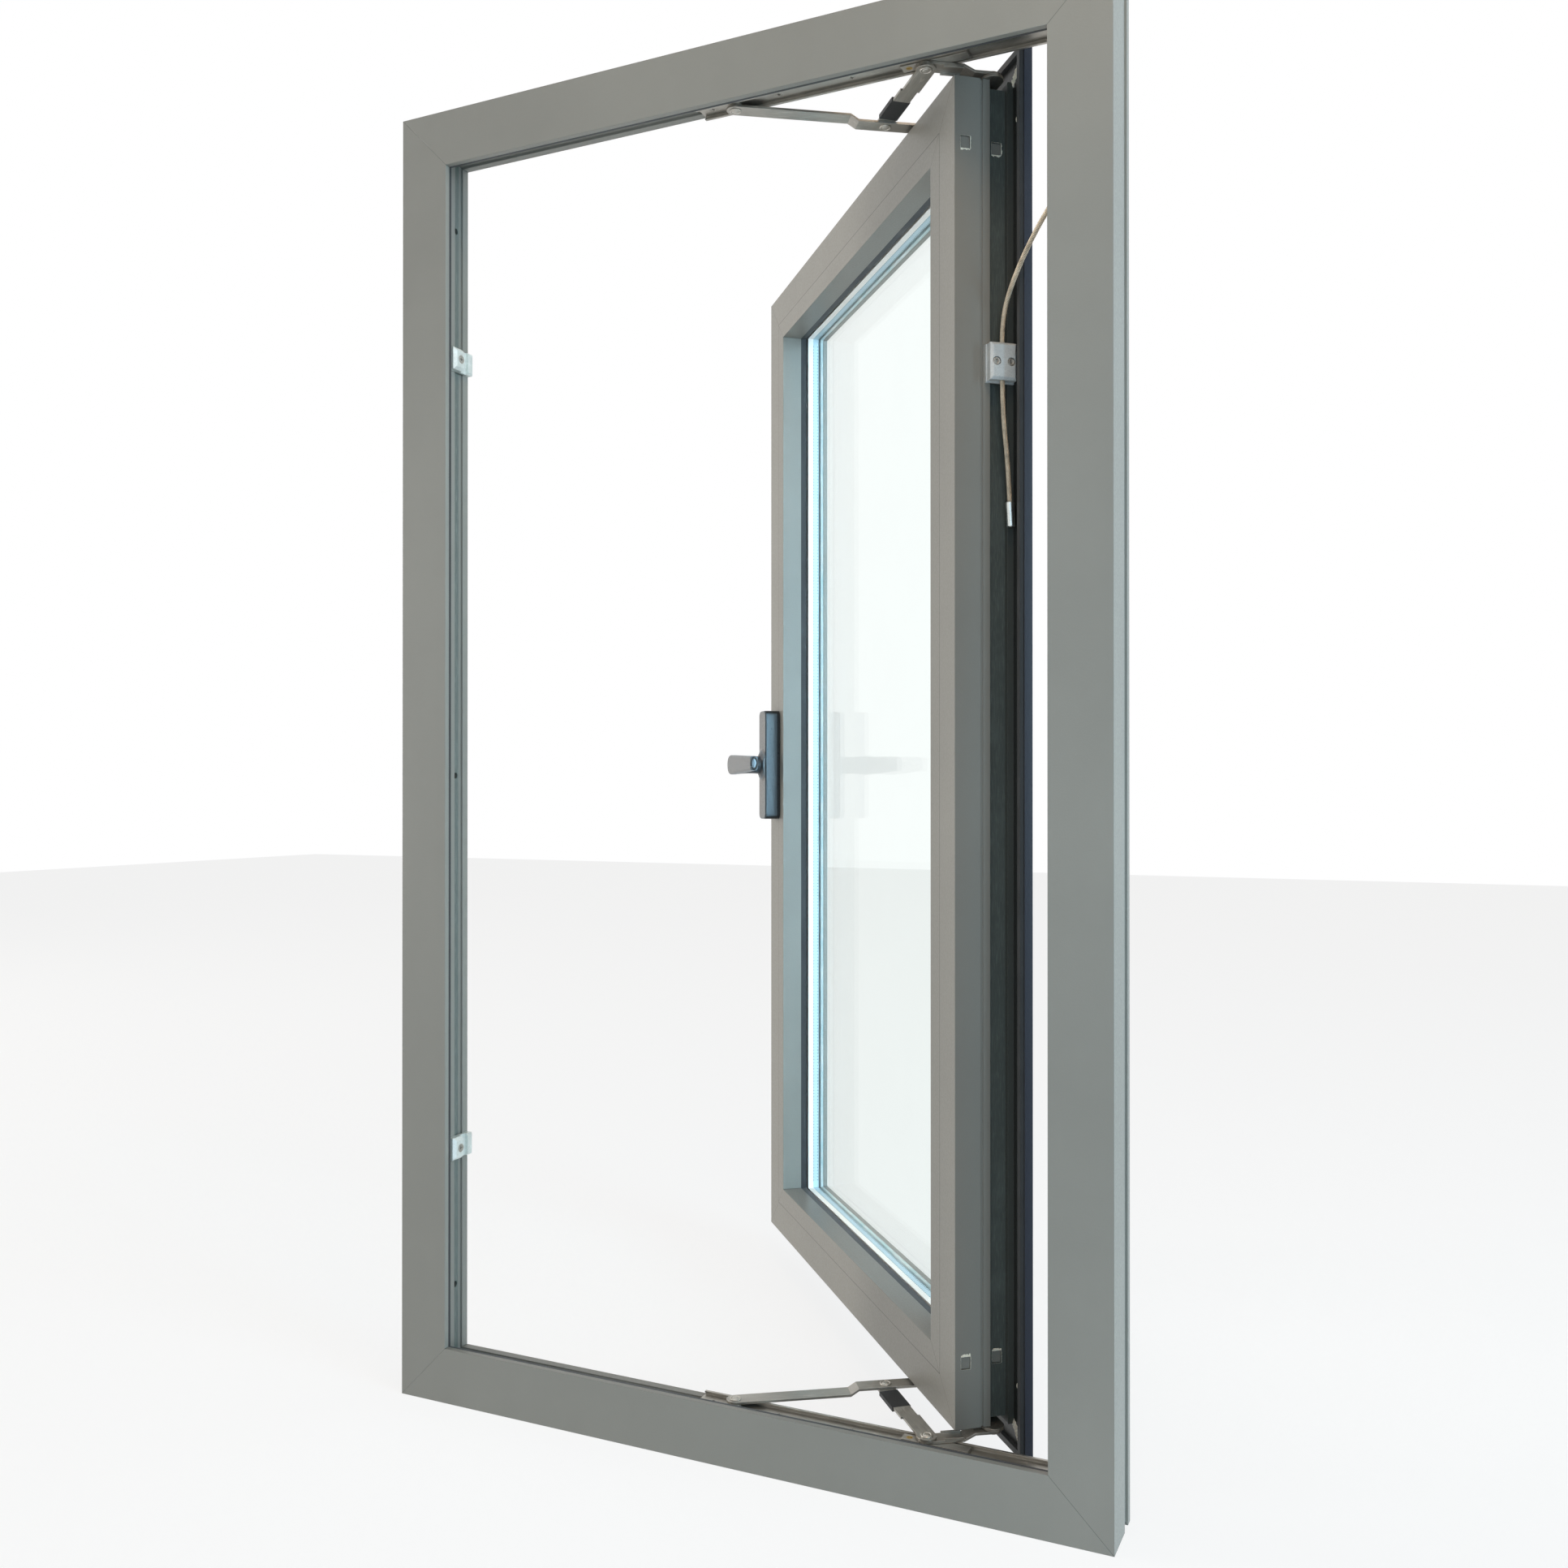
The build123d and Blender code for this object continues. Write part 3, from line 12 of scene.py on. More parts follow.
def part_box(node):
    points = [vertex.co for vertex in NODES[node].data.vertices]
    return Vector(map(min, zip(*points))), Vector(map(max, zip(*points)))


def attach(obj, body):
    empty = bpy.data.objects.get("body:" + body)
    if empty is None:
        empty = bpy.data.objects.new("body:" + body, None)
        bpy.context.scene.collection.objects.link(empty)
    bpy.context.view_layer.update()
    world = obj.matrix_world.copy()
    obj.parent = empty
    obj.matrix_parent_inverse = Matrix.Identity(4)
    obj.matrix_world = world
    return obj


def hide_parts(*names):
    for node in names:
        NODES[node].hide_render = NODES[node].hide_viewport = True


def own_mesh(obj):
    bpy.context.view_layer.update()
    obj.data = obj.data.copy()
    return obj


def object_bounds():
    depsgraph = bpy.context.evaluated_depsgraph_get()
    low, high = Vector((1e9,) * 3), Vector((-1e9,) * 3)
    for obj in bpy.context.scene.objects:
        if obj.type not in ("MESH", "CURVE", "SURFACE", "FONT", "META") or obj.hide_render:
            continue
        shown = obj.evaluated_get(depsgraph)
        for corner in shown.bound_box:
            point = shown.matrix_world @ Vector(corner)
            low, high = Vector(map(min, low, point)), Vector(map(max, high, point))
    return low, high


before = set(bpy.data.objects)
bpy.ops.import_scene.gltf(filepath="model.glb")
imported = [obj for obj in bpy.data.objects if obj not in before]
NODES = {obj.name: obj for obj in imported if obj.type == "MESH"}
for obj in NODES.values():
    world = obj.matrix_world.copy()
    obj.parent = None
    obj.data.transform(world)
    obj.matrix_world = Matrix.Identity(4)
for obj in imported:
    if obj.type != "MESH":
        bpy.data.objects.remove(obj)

bl_info = {
    "name": "Casement window finishes",
    "version": (1, 0, 0),
    "blender": (4, 5, 0),
    "location": "View3D > Sidebar > Casement",
    "description": "Dresses an aluminium casement window: finishes, cables, rivets and studio",
    "category": "Object",
}

MM = 0.001
FRAME_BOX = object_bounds()

# Lengths that the part's source also has, in metres. Depths run from the room outward.
FRAME_W, FRAME_H = 0.640, 1.150
REBATE_W, SASH_GAP = 0.030, 0.0135
SASH_MARGIN = REBATE_W + SASH_GAP
SASH_W, SASH_H = FRAME_W - 2 * SASH_MARGIN, FRAME_H - 2 * SASH_MARGIN
SASH_SET, STILE_W, BEAD_W = 0.009, 0.032, 0.0195
SIGHT = STILE_W + BEAD_W  # sash edge to the glass
HINGE_EDGE = FRAME_W / 2 - SASH_MARGIN
GROOVE_MID, GROOVE_DEPTH = 0.0375, 0.005  # the hinge edge's groove
REBATE_START, REBATE_STOP = SASH_SET + 0.044, SASH_SET + 0.0565
REBATE_REACH = 0.006  # the painted shade's reach in from the sash's edge
FLANGE_FACE = 0.059  # depth of the flange's room side
FLANGE_EDGE = -0.0199  # just inside the flange's outer edge
SPACER_START, SPACER_STOP = 0.0415, 0.0535  # depths of the spacer bar's two sides

# The open stays, in plan: lengths between pivots, and angles in degrees.
PIVOT_Y, NOSE_IN = 0.0421, 0.0029
STAY_ARM, STAY_LINK, STAY_NOSE = 0.1284, 0.095, 0.0538
OPEN_ANGLE, ARM_ANGLE = 49.35, 34.1489
NOSE_SHUT = Vector((HINGE_EDGE - NOSE_IN, PIVOT_Y, 0.0))
FIX = NOSE_SHUT - Vector((STAY_ARM + STAY_LINK + STAY_NOSE, 0.0, 0.0))

# Heights of the stay's stack over the rebate, and its rivets.
HEAD_R, SHANK_R, HEAD_TALL = 0.005, 0.003, 0.0012
SHOE_LOW, ARM_HIGH, LINK_HIGH = 0.0014, 0.0108, 0.0086
MIDDLE_LOW, FIXED_HIGH = 0.0055, 0.0067

CLAMP_FACE, CLAMP_Z = 0.2875, 0.881  # clamp's outer face from mid-width, and its height
CLAMP_SCREWS = 0.0124  # between its two screws

# Punched slots: size, middle from the sash's end, and middle from its room face.
SLOT_W, SLOT_H, SLOT_INSET, SLOT_SET = 0.008, 0.010, 0.052, 0.009

BASE_FACE, LEVER_FACE = SASH_SET - 0.0175, SASH_SET - 0.0567  # depths of the handle's two fronts
HANDLE_IN, LEVER_L = 0.024, 0.097  # lock edge to the lever's axis, and the lever's length
LEVER_MID, LEVER_Z = 0.0517, 0.573  # middle of the lever's end from the sash, and its height
LEVER_END = Vector((-HINGE_EDGE + HANDLE_IN + LEVER_L, SASH_SET - LEVER_MID, LEVER_Z))

FADE = 0.1 * MM  # width over which one coat gives way to the next
CABLE_STEP = 1.2 * MM  # between the rings of a cable's strands
CAMERA_AT, CAMERA_TURN = (0.5320, -1.0075, 0.5459), (90.19, 0.0, 25.064)
FLOOR_HALF = 8


def plan(angle):
    """A direction in plan, from its angle in degrees."""
    return Vector((cos(radians(angle)), sin(radians(angle)), 0.0))


MIDDLE = FIX + plan(ARM_ANGLE) * STAY_ARM
ARM_END = FIX + plan(ARM_ANGLE) * (STAY_ARM + STAY_NOSE)
SHOE_AT = MIDDLE + plan(-OPEN_ANGLE) * STAY_LINK
NOSE_AT = ARM_END + plan(-OPEN_ANGLE) * STAY_LINK
SWING = Matrix.Rotation(radians(-OPEN_ANGLE), 4, "Z")
SASH_TURN = Matrix.Translation(NOSE_AT) @ SWING @ Matrix.Translation(-NOSE_SHUT)


def carried(x, y, z):
    """A point drawn with the sash shut, at its place on the open sash."""
    return SASH_TURN @ Vector((x, y, z))


# ---- sizes and colours
def tone(*levels):
    """A screen colour of 0 to 255 as the linear colour that a shader takes."""
    shares = (level / 255 for level in levels)
    return tuple(s / 12.92 if s <= 0.04045 else ((s + 0.055) / 1.055) ** 2.4 for s in shares)


def colour_property(name, description, *levels):
    """A colour that a user may change."""
    return FloatVectorProperty(
        name=name, description=description, subtype="COLOR", size=3, min=0.0, max=1.0, default=tone(*levels)
    )


def length_property(name, description, default, least):
    """A length that a user may change, given in millimetres."""
    return FloatProperty(
        name=name, description=description, default=default * MM, min=least * MM, unit="LENGTH", precision=4
    )


def power_property(name, description, default):
    """A lamp's power, in watts."""
    return FloatProperty(name=name, description=description, default=default, min=0.0, unit="POWER")


class CasementColours(bpy.types.PropertyGroup):
    """Colours of the finishes."""

    coat: colour_property("Powder coat", "Satin coat on frame and sash", 131, 129, 122)
    handle: colour_property("Handle coat", "Satin coat on the fronts of the handle", 109, 107, 104)
    # Painted light: the sides take a cooler, darker copy of the handle's coat, standing in for their lighting.
    handle_side_shade: colour_property("Handle sides", "The same coat on its sides", 83, 98, 107)
    # Painted shade: the dark colour that stands in for the shade on the sash's edge under the flange.
    rebate_shade: colour_property("Rebate black", "Dark coat on the sash edge under the flange", 66, 69, 65)
    rubber: colour_property("Gasket rubber", "Gaskets of frame and glazing", 30, 31, 32)
    polyamide: colour_property("Thermal break", "Strips between the extrusions", 76, 82, 78)
    stainless: colour_property("Stainless steel", "Friction stays", 176, 172, 164)
    zinc: colour_property("Zinc casting", "Keepers and lock cams", 226, 231, 227)
    alloy: colour_property("Cast alloy", "Cable clamp and anchor", 214, 217, 216)
    cable: colour_property("Cable", "Restrictor cable", 206, 192, 170)
    brass: colour_property("Brass", "Friction screws", 186, 158, 96)
    glass: colour_property("Glass tint", "Tint of both panes", 252, 255, 254)


class CasementCable(bpy.types.PropertyGroup):
    """Sizes of the restrictor cable."""

    radius: length_property("Cable radius", "Half the cable's diameter", 2.0, 0.5)
    lay: length_property("Strand lay", "Length in which a strand goes once round", 15, 5)
    strands: IntProperty(name="Strands", description="Strands laid round the core", default=6, min=3, max=12)


class CasementSpacer(bpy.types.PropertyGroup):
    """Holes along the glass unit's spacer bar."""

    pitch: length_property("Hole pitch", "Distance from one breather hole to the next", 3.5, 2)
    hole: length_property("Hole width", "Diameter of one breather hole", 1.3, 0.3)
    rows_apart: length_property("Row spacing", "Distance between the two rows of holes", 4.8, 1)


class CasementStage(bpy.types.PropertyGroup):
    """Floor, backdrop, lamps and camera."""

    floor: colour_property("Floor", "Colour of the plain floor", 246, 246, 244)
    room_lamp: power_property("Room lamp", "Power of the warm lamp on the room side", 116.0)
    side_lamp: power_property("Side lamp", "Power of the cool lamp on the hinge side", 102.0)
    top_lamp: power_property("Top lamp", "Power of the small warm lamp over the hinge corner", 3.6)
    edge_lamp: power_property("Edge lamp", "Power of the cool lamp that reaches the hinge edge", 5.5)
    ambient: FloatProperty(
        name="Ambient light", description="Strength of the even light from all round",
        default=0.38, min=0.0, max=1.0, subtype="FACTOR",
    )
    lens: FloatProperty(
        name="Lens", description="Focal length of the camera", default=32.337, min=10.0, unit="CAMERA"
    )


# ---- finishes
class Shading:
    """A shader's node tree under way."""

    def __init__(self, tree):
        self.tree = tree

    def find(self, kind):
        """The tree's first node of a kind."""
        return next(node for node in self.tree.nodes if node.type == kind)

    def add(self, kind, settings=None, **inputs):
        """Add a shader node, set it up, and set or link its inputs, by name or by i and a number."""
        node = self.tree.nodes.new("ShaderNode" + kind)
        for key, value in (settings or {}).items():
            setattr(node, key, value)
        for key, value in inputs.items():
            self.set(node, key, value)
        return node

    def set(self, node, key, value):
        """Link an output into an input, or give the input a plain value."""
        by_number = key[0] == "i" and key[1:].isdigit()
        socket = node.inputs[int(key[1:]) if by_number else key.replace("_", " ")]
        if isinstance(value, bpy.types.NodeSocket):
            self.tree.links.new(value, socket)
        else:
            socket.default_value = value

    def math(self, operation, first, second=0.0):
        """One step of arithmetic."""
        return self.add("Math", {"operation": operation}, i0=first, i1=second).outputs[0]

    def times(self, first, second):
        """The product of two values."""
        return self.math("MULTIPLY", first, second)

    def apart(self, first, second):
        """How far two values are from each other."""
        return self.math("ABSOLUTE", self.math("SUBTRACT", first, second))

    def band(self, value, low, high, start=0.0, end=1.0, smooth=False):
        """Map a value from one range to another."""
        way = {"interpolation_type": "SMOOTHSTEP" if smooth else "LINEAR"}
        node = self.add("MapRange", way, Value=value, From_Min=low, From_Max=high, To_Min=start, To_Max=end)
        return node.outputs["Result"]

    def vary(self, noise, start=0.0, end=1.0):
        """Spread a noise from one value to another."""
        return self.band(noise, 0.3, 0.7, start, end)

    def between(self, value, low, full, end, high):
        """1 from full to end, fading to 0 at low and at high."""
        return self.times(self.band(value, low, full), self.band(value, high, end))

    def seen_directly(self):
        """1 for what the eye, a reflection or the glass sees of the surroundings."""
        path = self.add("LightPath").outputs
        total = self.math("MAXIMUM", path["Is Camera Ray"], path["Is Glossy Ray"])
        return self.math("MAXIMUM", total, path["Is Transmission Ray"])


class Finish(Shading):
    """A procedural material under way, drawn on the object's own coordinates."""

    def __init__(self, name, turn=0.0, move=(0.0, 0.0, 0.0)):
        self.material = bpy.data.materials.new(name)
        self.material.use_nodes = True
        super().__init__(self.material.node_tree)
        self.shader = self.find("BSDF_PRINCIPLED")
        own = self.add("TexCoord").outputs["Object"]
        moved = self.add("Mapping", Vector=own, Location=move, Rotation=(0.0, 0.0, turn))
        self.place = moved.outputs["Vector"]

    def axes(self):
        """The place's X, Y and Z."""
        return self.add("SeparateXYZ", Vector=self.place).outputs

    def noise(self, scale, detail=3.0, rough=0.5, stretch=(1.0, 1.0, 1.0), warp=0.0):
        """Noise of that many features a metre, stretched along the axes."""
        across = self.add("Mapping", Vector=self.place, Scale=stretch).outputs["Vector"]
        node = self.add("TexNoise", Vector=across, Scale=scale, Detail=detail, Roughness=rough, Distortion=warp)
        return node.outputs["Fac"]

    def mix(self, share, first, second):
        """Mix two colours."""
        node = self.add("Mix", {"data_type": "RGBA"})
        for index, value in ((0, share), (6, first), (7, second)):
            plain = index and not isinstance(value, bpy.types.NodeSocket)
            self.set(node, f"i{index}", (*value, 1.0) if plain else value)
        return node.outputs[2]

    def over(self, tint, where, share, colour, factor):
        """Lay a darker or lighter colour over the tint, by a share of where it goes."""
        return self.mix(self.times(where, share), tint, shade(colour, factor))

    def bump(self, height, strength, distance, normal=None):
        """A bump from a height, over the surface or over another normal."""
        node = self.add("Bump", Height=height, Strength=strength, Distance=distance)
        if normal is not None:
            self.set(node, "Normal", normal)
        return node.outputs["Normal"]

    def soft_edge(self, radius):
        """The surface normal with its edges rounded by that radius."""
        return self.add("Bevel", {"samples": 4}, Radius=radius).outputs["Normal"]

    def edge(self, normal):
        """How far a softened normal leaves the flat one: 1 on an edge, 0 on a face."""
        flat = self.add("NewGeometry").outputs["Normal"]
        dot = self.add("VectorMath", {"operation": "DOT_PRODUCT"}, i0=normal, i1=flat)
        return self.band(dot.outputs["Value"], 0.55, 0.97, 1.0, 0.0)

    def done(self, tint, rough, normal=None, **inputs):
        """Set the shader's inputs and hand the material over."""
        inputs.update(Base_Color=tint, Roughness=rough)
        if normal is not None:
            inputs["Normal"] = normal
        for key, value in inputs.items():
            self.set(self.shader, key, value)
        return self.material


def shade(colour, factor):
    """A colour made darker or lighter."""
    return tuple(min(1.0, c * factor) for c in colour[:3])


def on_sash():
    """The turn and move that lay the open sash's coordinates back on the shut window."""
    back = SASH_TURN.inverted()
    return {"turn": radians(OPEN_ANGLE), "move": tuple(back.translation)}


def powder_coat(name, colour, width, height, bead=0.0, rebate_shade=None, **place):
    """Matte powder coat: an orange-peel skin, dark hairlines at mitres and beads, and painted shade on the sash's
    edge under the flange.
    """
    f = Finish(name, **place)
    peel = f.noise(620.0, 2.0, 0.55)
    fleck = f.noise(2600.0, 1.0, 0.5)
    cloud = f.noise(5.0, 4.0, 0.55)
    streak = f.noise(9.0, 3.0, 0.6, stretch=(1.0, 1.0, 0.25))
    tint = f.mix(f.vary(cloud), shade(colour, 0.93), shade(colour, 1.06))
    tint = f.over(tint, f.band(streak, 0.45, 0.8), 0.35, colour, 0.84)
    tint = f.over(tint, f.band(fleck, 0.35, 0.75), 0.22, colour, 1.25)
    soft = f.soft_edge(0.6 * MM)
    tint = f.over(tint, f.edge(soft), f.vary(cloud, 0.18, 0.5), colour, 1.5)
    normal = f.bump(peel, 0.32, 0.25 * MM, soft)
    axes = f.axes()
    inward = f.math("SUBTRACT", width / 2, f.math("ABSOLUTE", axes["X"]))
    upward = f.math("SUBTRACT", height / 2, f.apart(axes["Z"], FRAME_H / 2))
    line = f.band(f.apart(inward, upward), 0.12 * MM, 0.34 * MM, 0.75, 0.0, smooth=True)
    inset = f.math("MINIMUM", inward, upward)
    if bead:
        seam = f.band(f.apart(inset, bead), 0.16 * MM, 0.4 * MM, 0.8, 0.0, smooth=True)
        line = f.math("MAXIMUM", line, seam)
    tint = f.mix(line, tint, shade(colour, 0.12))
    if rebate_shade:
        # Painted shade: under the flange, then darker on the flange's own room side, then dark blue-grey on its outer
        # edge.
        depth = axes["Y"]
        started = f.band(depth, REBATE_START, REBATE_START + FADE)
        within = f.times(started, f.band(depth, REBATE_STOP + FADE, REBATE_STOP))
        under = f.between(inset, FLANGE_EDGE, FLANGE_EDGE + FADE, REBATE_REACH, REBATE_REACH + FADE)
        black = f.mix(f.vary(cloud), rebate_shade, shade(rebate_shade, 1.25))
        face = f.band(depth, FLANGE_FACE - 2 * FADE, FLANGE_FACE - FADE)
        tint = f.mix(f.times(under, within), tint, f.mix(face, black, shade(rebate_shade, 0.3)))
        beyond = f.times(f.band(inset, FLANGE_EDGE + FADE, FLANGE_EDGE), started)
        tint = f.mix(beyond, tint, tone(46, 51, 64))
    rough = f.vary(peel, 0.36, 0.48)
    return f.done(tint, rough, normal, Specular_IOR_Level=0.5)


def handle_coat(name, front, side, **place):
    """Satin coat on the handle, with painted light: lighter on its two fronts, a cooler painted shade on its sides, a
    painted shadow on the lever's neck, and dark painted shade lines in its edges.
    """
    f = Finish(name, **place)
    axes = f.axes()
    depth, face = axes["Y"], BASE_FACE
    peel = f.noise(620.0, 2.0, 0.55)
    cloud = f.noise(24.0, 4.0, 0.55)
    base_front = f.between(depth, face - 1.4 * MM, face - 0.8 * MM, face, face + 0.6 * MM)
    lever_front = f.band(depth, LEVER_FACE + 2.2 * MM, LEVER_FACE + 1.4 * MM)
    # Painted light: the fronts take the lighter copy of the coat, the sides the cooler shaded one.
    tint = f.mix(f.math("MAXIMUM", base_front, lever_front), side, front)
    # Painted shadow: the lever's neck darkened behind the lever.
    neck_start = f.band(depth, LEVER_FACE + 8.0 * MM, LEVER_FACE + 10.0 * MM)
    neck_shadow = f.times(neck_start, f.band(depth, face - 1.4 * MM, face - 2.4 * MM))
    tint = f.over(tint, neck_shadow, 0.75, side, 0.18)
    tint = f.over(tint, f.vary(cloud), 0.4, side, 0.9)
    # Painted shade: dark lines at the base's top and bottom ends, at its foot against the sash and just behind its
    # front.
    low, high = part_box("handle_base")
    from_middle = f.apart(axes["Z"], (low[2] + high[2]) / 2)
    half = (high[2] - low[2]) / 2
    ends = f.band(from_middle, half - 3.6 * MM, half - 3.1 * MM)
    ends = f.times(ends, f.band(depth, face + 0.8 * MM, face + 1.6 * MM))
    foot = f.band(depth, SASH_SET - 3.5 * MM, SASH_SET - 3.0 * MM)
    line = f.between(depth, face + 0.5 * MM, face + 0.8 * MM, face + 1.5 * MM, face + 1.9 * MM)
    rim = f.math("MAXIMUM", f.math("MAXIMUM", ends, foot), line)
    tint = f.over(tint, rim, 0.92, side, 0.06)
    rough = f.vary(peel, 0.26, 0.38)
    return f.done(tint, rough, f.bump(peel, 0.3, 0.2 * MM, f.soft_edge(1.0 * MM)), Specular_IOR_Level=0.5)


def gasket_rubber(name, colour, **place):
    """Extruded rubber: near black, a dusty bloom and fine lines along its run."""
    f = Finish(name, **place)
    bloom = f.noise(46.0, 4.0, 0.6)
    grain = f.noise(1500.0, 2.0, 0.6)
    tint = f.mix(f.band(bloom, 0.35, 0.75), colour, shade(colour, 2.1))
    rough = f.vary(bloom, 0.5, 0.72)
    return f.done(tint, rough, f.bump(grain, 0.25, 0.1 * MM, f.soft_edge(0.5 * MM)), Sheen_Weight=0.15)


def glass_filled_nylon(name, colour, **place):
    """Dark polyamide with pale glass-fibre streaks up its length."""
    f = Finish(name, **place)
    fibre = f.noise(1800.0, 2.0, 0.6, stretch=(1.0, 1.0, 0.06))
    dust = f.noise(30.0, 4.0, 0.6)
    tint = f.over(colour, f.band(fibre, 0.5, 0.8), 0.35, colour, 3.2)
    tint = f.over(tint, f.band(dust, 0.5, 0.8), 0.25, colour, 2.4)
    rough = f.vary(dust, 0.45, 0.62)
    return f.done(tint, rough, f.bump(fibre, 0.2, 0.1 * MM))


def brushed_steel(name, colour, angle):
    """Satin stainless: fine scratches along the piece, which lies at that angle, and bright edges."""
    f = Finish(name, turn=radians(-angle))
    scratch = f.noise(1700.0, 3.0, 0.65, stretch=(0.03, 1.0, 1.0))
    nick = f.noise(260.0, 2.0, 0.6, stretch=(0.2, 1.0, 1.0), warp=0.4)
    stain = f.noise(38.0, 4.0, 0.6)
    soft = f.soft_edge(0.5 * MM)
    tint = f.mix(f.vary(scratch), shade(colour, 0.8), shade(colour, 1.12))
    tint = f.over(tint, f.band(stain, 0.5, 0.78), 0.5, colour, 0.55)
    tint = f.over(tint, f.band(nick, 0.62, 0.72), 0.6, colour, 1.45)
    tint = f.over(tint, f.edge(soft), 0.5, colour, 1.5)
    rough = f.math("ADD", f.vary(scratch, 0.3, 0.42), f.band(stain, 0.4, 0.8, 0.0, 0.12))
    return f.done(tint, rough, f.bump(scratch, 0.3, 0.06 * MM, soft), Metallic=0.9, Anisotropic=0.35)


def casting(name, colour, rough, metal):
    """Cast metal: a fine pebbled skin, darker in patches and brighter on its edges."""
    f = Finish(name)
    skin = f.noise(900.0, 3.0, 0.6)
    patch = f.noise(70.0, 4.0, 0.6)
    soft = f.soft_edge(0.5 * MM)
    tint = f.mix(f.band(patch, 0.35, 0.7), shade(colour, 0.86), shade(colour, 1.08))
    tint = f.over(tint, f.band(skin, 0.3, 0.55, 1.0, 0.0), 0.4, colour, 0.6)
    tint = f.over(tint, f.edge(soft), 0.6, colour, 1.4)
    uneven = f.vary(patch, rough, rough + 0.14)
    return f.done(tint, uneven, f.bump(skin, 0.35, 0.12 * MM, soft), Metallic=metal)


def spacer_alloy(name, near, far, **place):
    """Anodised spacer bar: white toward the room, with a cooler band where its holes run."""
    f = Finish(name, **place)
    middle = (SPACER_START + SPACER_STOP) / 2
    patch = f.noise(70.0, 4.0, 0.6)
    tint = f.mix(f.band(f.axes()["Y"], middle - 0.4 * MM, middle), near, far)
    tint = f.over(tint, f.band(patch, 0.35, 0.7), 0.1, far, 0.8)
    return f.done(tint, f.vary(patch, 0.38, 0.5), Metallic=0.1)


def clear_glass(name, colour, **place):
    """Float glass with faint wiping marks."""
    f = Finish(name, **place)
    wipe = f.noise(14.0, 3.0, 0.55, warp=0.6)
    mark = f.noise(120.0, 2.0, 0.5, stretch=(1.0, 1.0, 0.3))
    tint = f.mix(f.band(wipe, 0.4, 0.7), colour, shade(colour, 0.994))
    haze = f.times(f.band(wipe, 0.45, 0.75, 0.0, 0.006), f.band(mark, 0.4, 0.7))
    return f.done(tint, haze, Transmission_Weight=1.0, IOR=1.12, Specular_IOR_Level=0.2)


def cable_steel(name, colour):
    """Galvanised strand: dull, a little warm, with dirt between its wires."""
    f = Finish(name)
    wire = f.noise(2400.0, 2.0, 0.6)
    dirt = f.noise(160.0, 4.0, 0.6)
    tint = f.mix(f.band(dirt, 0.35, 0.7), shade(colour, 1.05), shade(colour, 0.6))
    tint = f.over(tint, f.band(wire, 0.5, 0.75), 0.5, colour, 1.5)
    rough = f.vary(dirt, 0.34, 0.55)
    return f.done(tint, rough, f.bump(wire, 0.3, 0.08 * MM), Metallic=0.55)


def assign(material, *names):
    """Give CAD nodes their finish."""
    for name in names:
        mesh = NODES[name].data
        mesh.materials.clear()
        mesh.materials.append(material)


# ---- mesh helpers
def new_object(name, data):
    """Put an object into the scene."""
    thing = bpy.data.objects.new(name, data)
    bpy.context.scene.collection.objects.link(thing)
    return thing


def new_piece(name, mesh, material, body):
    """Link a mesh as a finished piece, riding on its body."""
    piece = new_object(name, mesh)
    mesh.materials.clear()
    mesh.materials.append(material)
    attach(piece, body)
    return piece


def spline_points(points):
    """Even points along the smooth line that a cable's route gives, and its length."""
    curve = bpy.data.curves.new("cable route", "CURVE")
    curve.dimensions = "3D"
    line = curve.splines.new("NURBS")
    line.points.add(len(points) - 1)
    for point, place in zip(line.points, points):
        point.co = (*place, 1.0)
    line.order_u = 3
    line.use_endpoint_u = True
    line.resolution_u = 24
    holder = new_object("cable route", curve)
    mesh = bpy.data.meshes.new_from_object(holder)
    dense = [v.co.copy() for v in mesh.vertices]
    bpy.data.meshes.remove(mesh)
    bpy.data.objects.remove(holder)
    bpy.data.curves.remove(curve)
    lengths = [0.0]
    for before, after in zip(dense, dense[1:]):
        lengths.append(lengths[-1] + (after - before).length)
    count = max(2, round(lengths[-1] / CABLE_STEP))
    even, at = [], 0
    for index in range(count + 1):
        want = lengths[-1] * index / count
        while at < len(lengths) - 2 and lengths[at + 1] < want:
            at += 1
        run = lengths[at + 1] - lengths[at]
        even.append(dense[at].lerp(dense[at + 1], (want - lengths[at]) / run if run else 0.0))
    return even, lengths[-1]


def cross_directions(points):
    """Two directions across the line at each point, turned as little as possible along it."""
    last = len(points) - 1
    tangents = [
        (points[min(index + 1, last)] - points[max(index - 1, 0)]).normalized()
        for index in range(len(points))
    ]
    across = tangents[0].orthogonal().normalized()
    pairs = []
    for tangent in tangents:
        across = (across - tangent * across.dot(tangent)).normalized()
        pairs.append((across, tangent.cross(across)))
    return pairs


def corner_angles(sides):
    """The angles of a ring's corners."""
    return [2 * pi * k / sides for k in range(sides)]


def bridge(bm, low, high):
    """The faces between two rings."""
    count = len(low)
    return [bm.faces.new((low[k], low[(k + 1) % count], high[(k + 1) % count], high[k])) for k in range(count)]


def close_ends(bm, low, high):
    """The two flat ends of a run of rings."""
    bm.faces.new(list(reversed(low)))
    bm.faces.new(high)


def add_tube(bm, centres, pairs, radius, sides=8):
    """A closed tube round a line of centres."""
    rings = []
    for centre, (u, v) in zip(centres, pairs):
        spokes = [u * cos(a) + v * sin(a) for a in corner_angles(sides)]
        rings.append([bm.verts.new(centre + spoke * radius) for spoke in spokes])
    for low, high in zip(rings, rings[1:]):
        for face in bridge(bm, low, high):
            face.smooth = True
    close_ends(bm, rings[0], rings[-1])


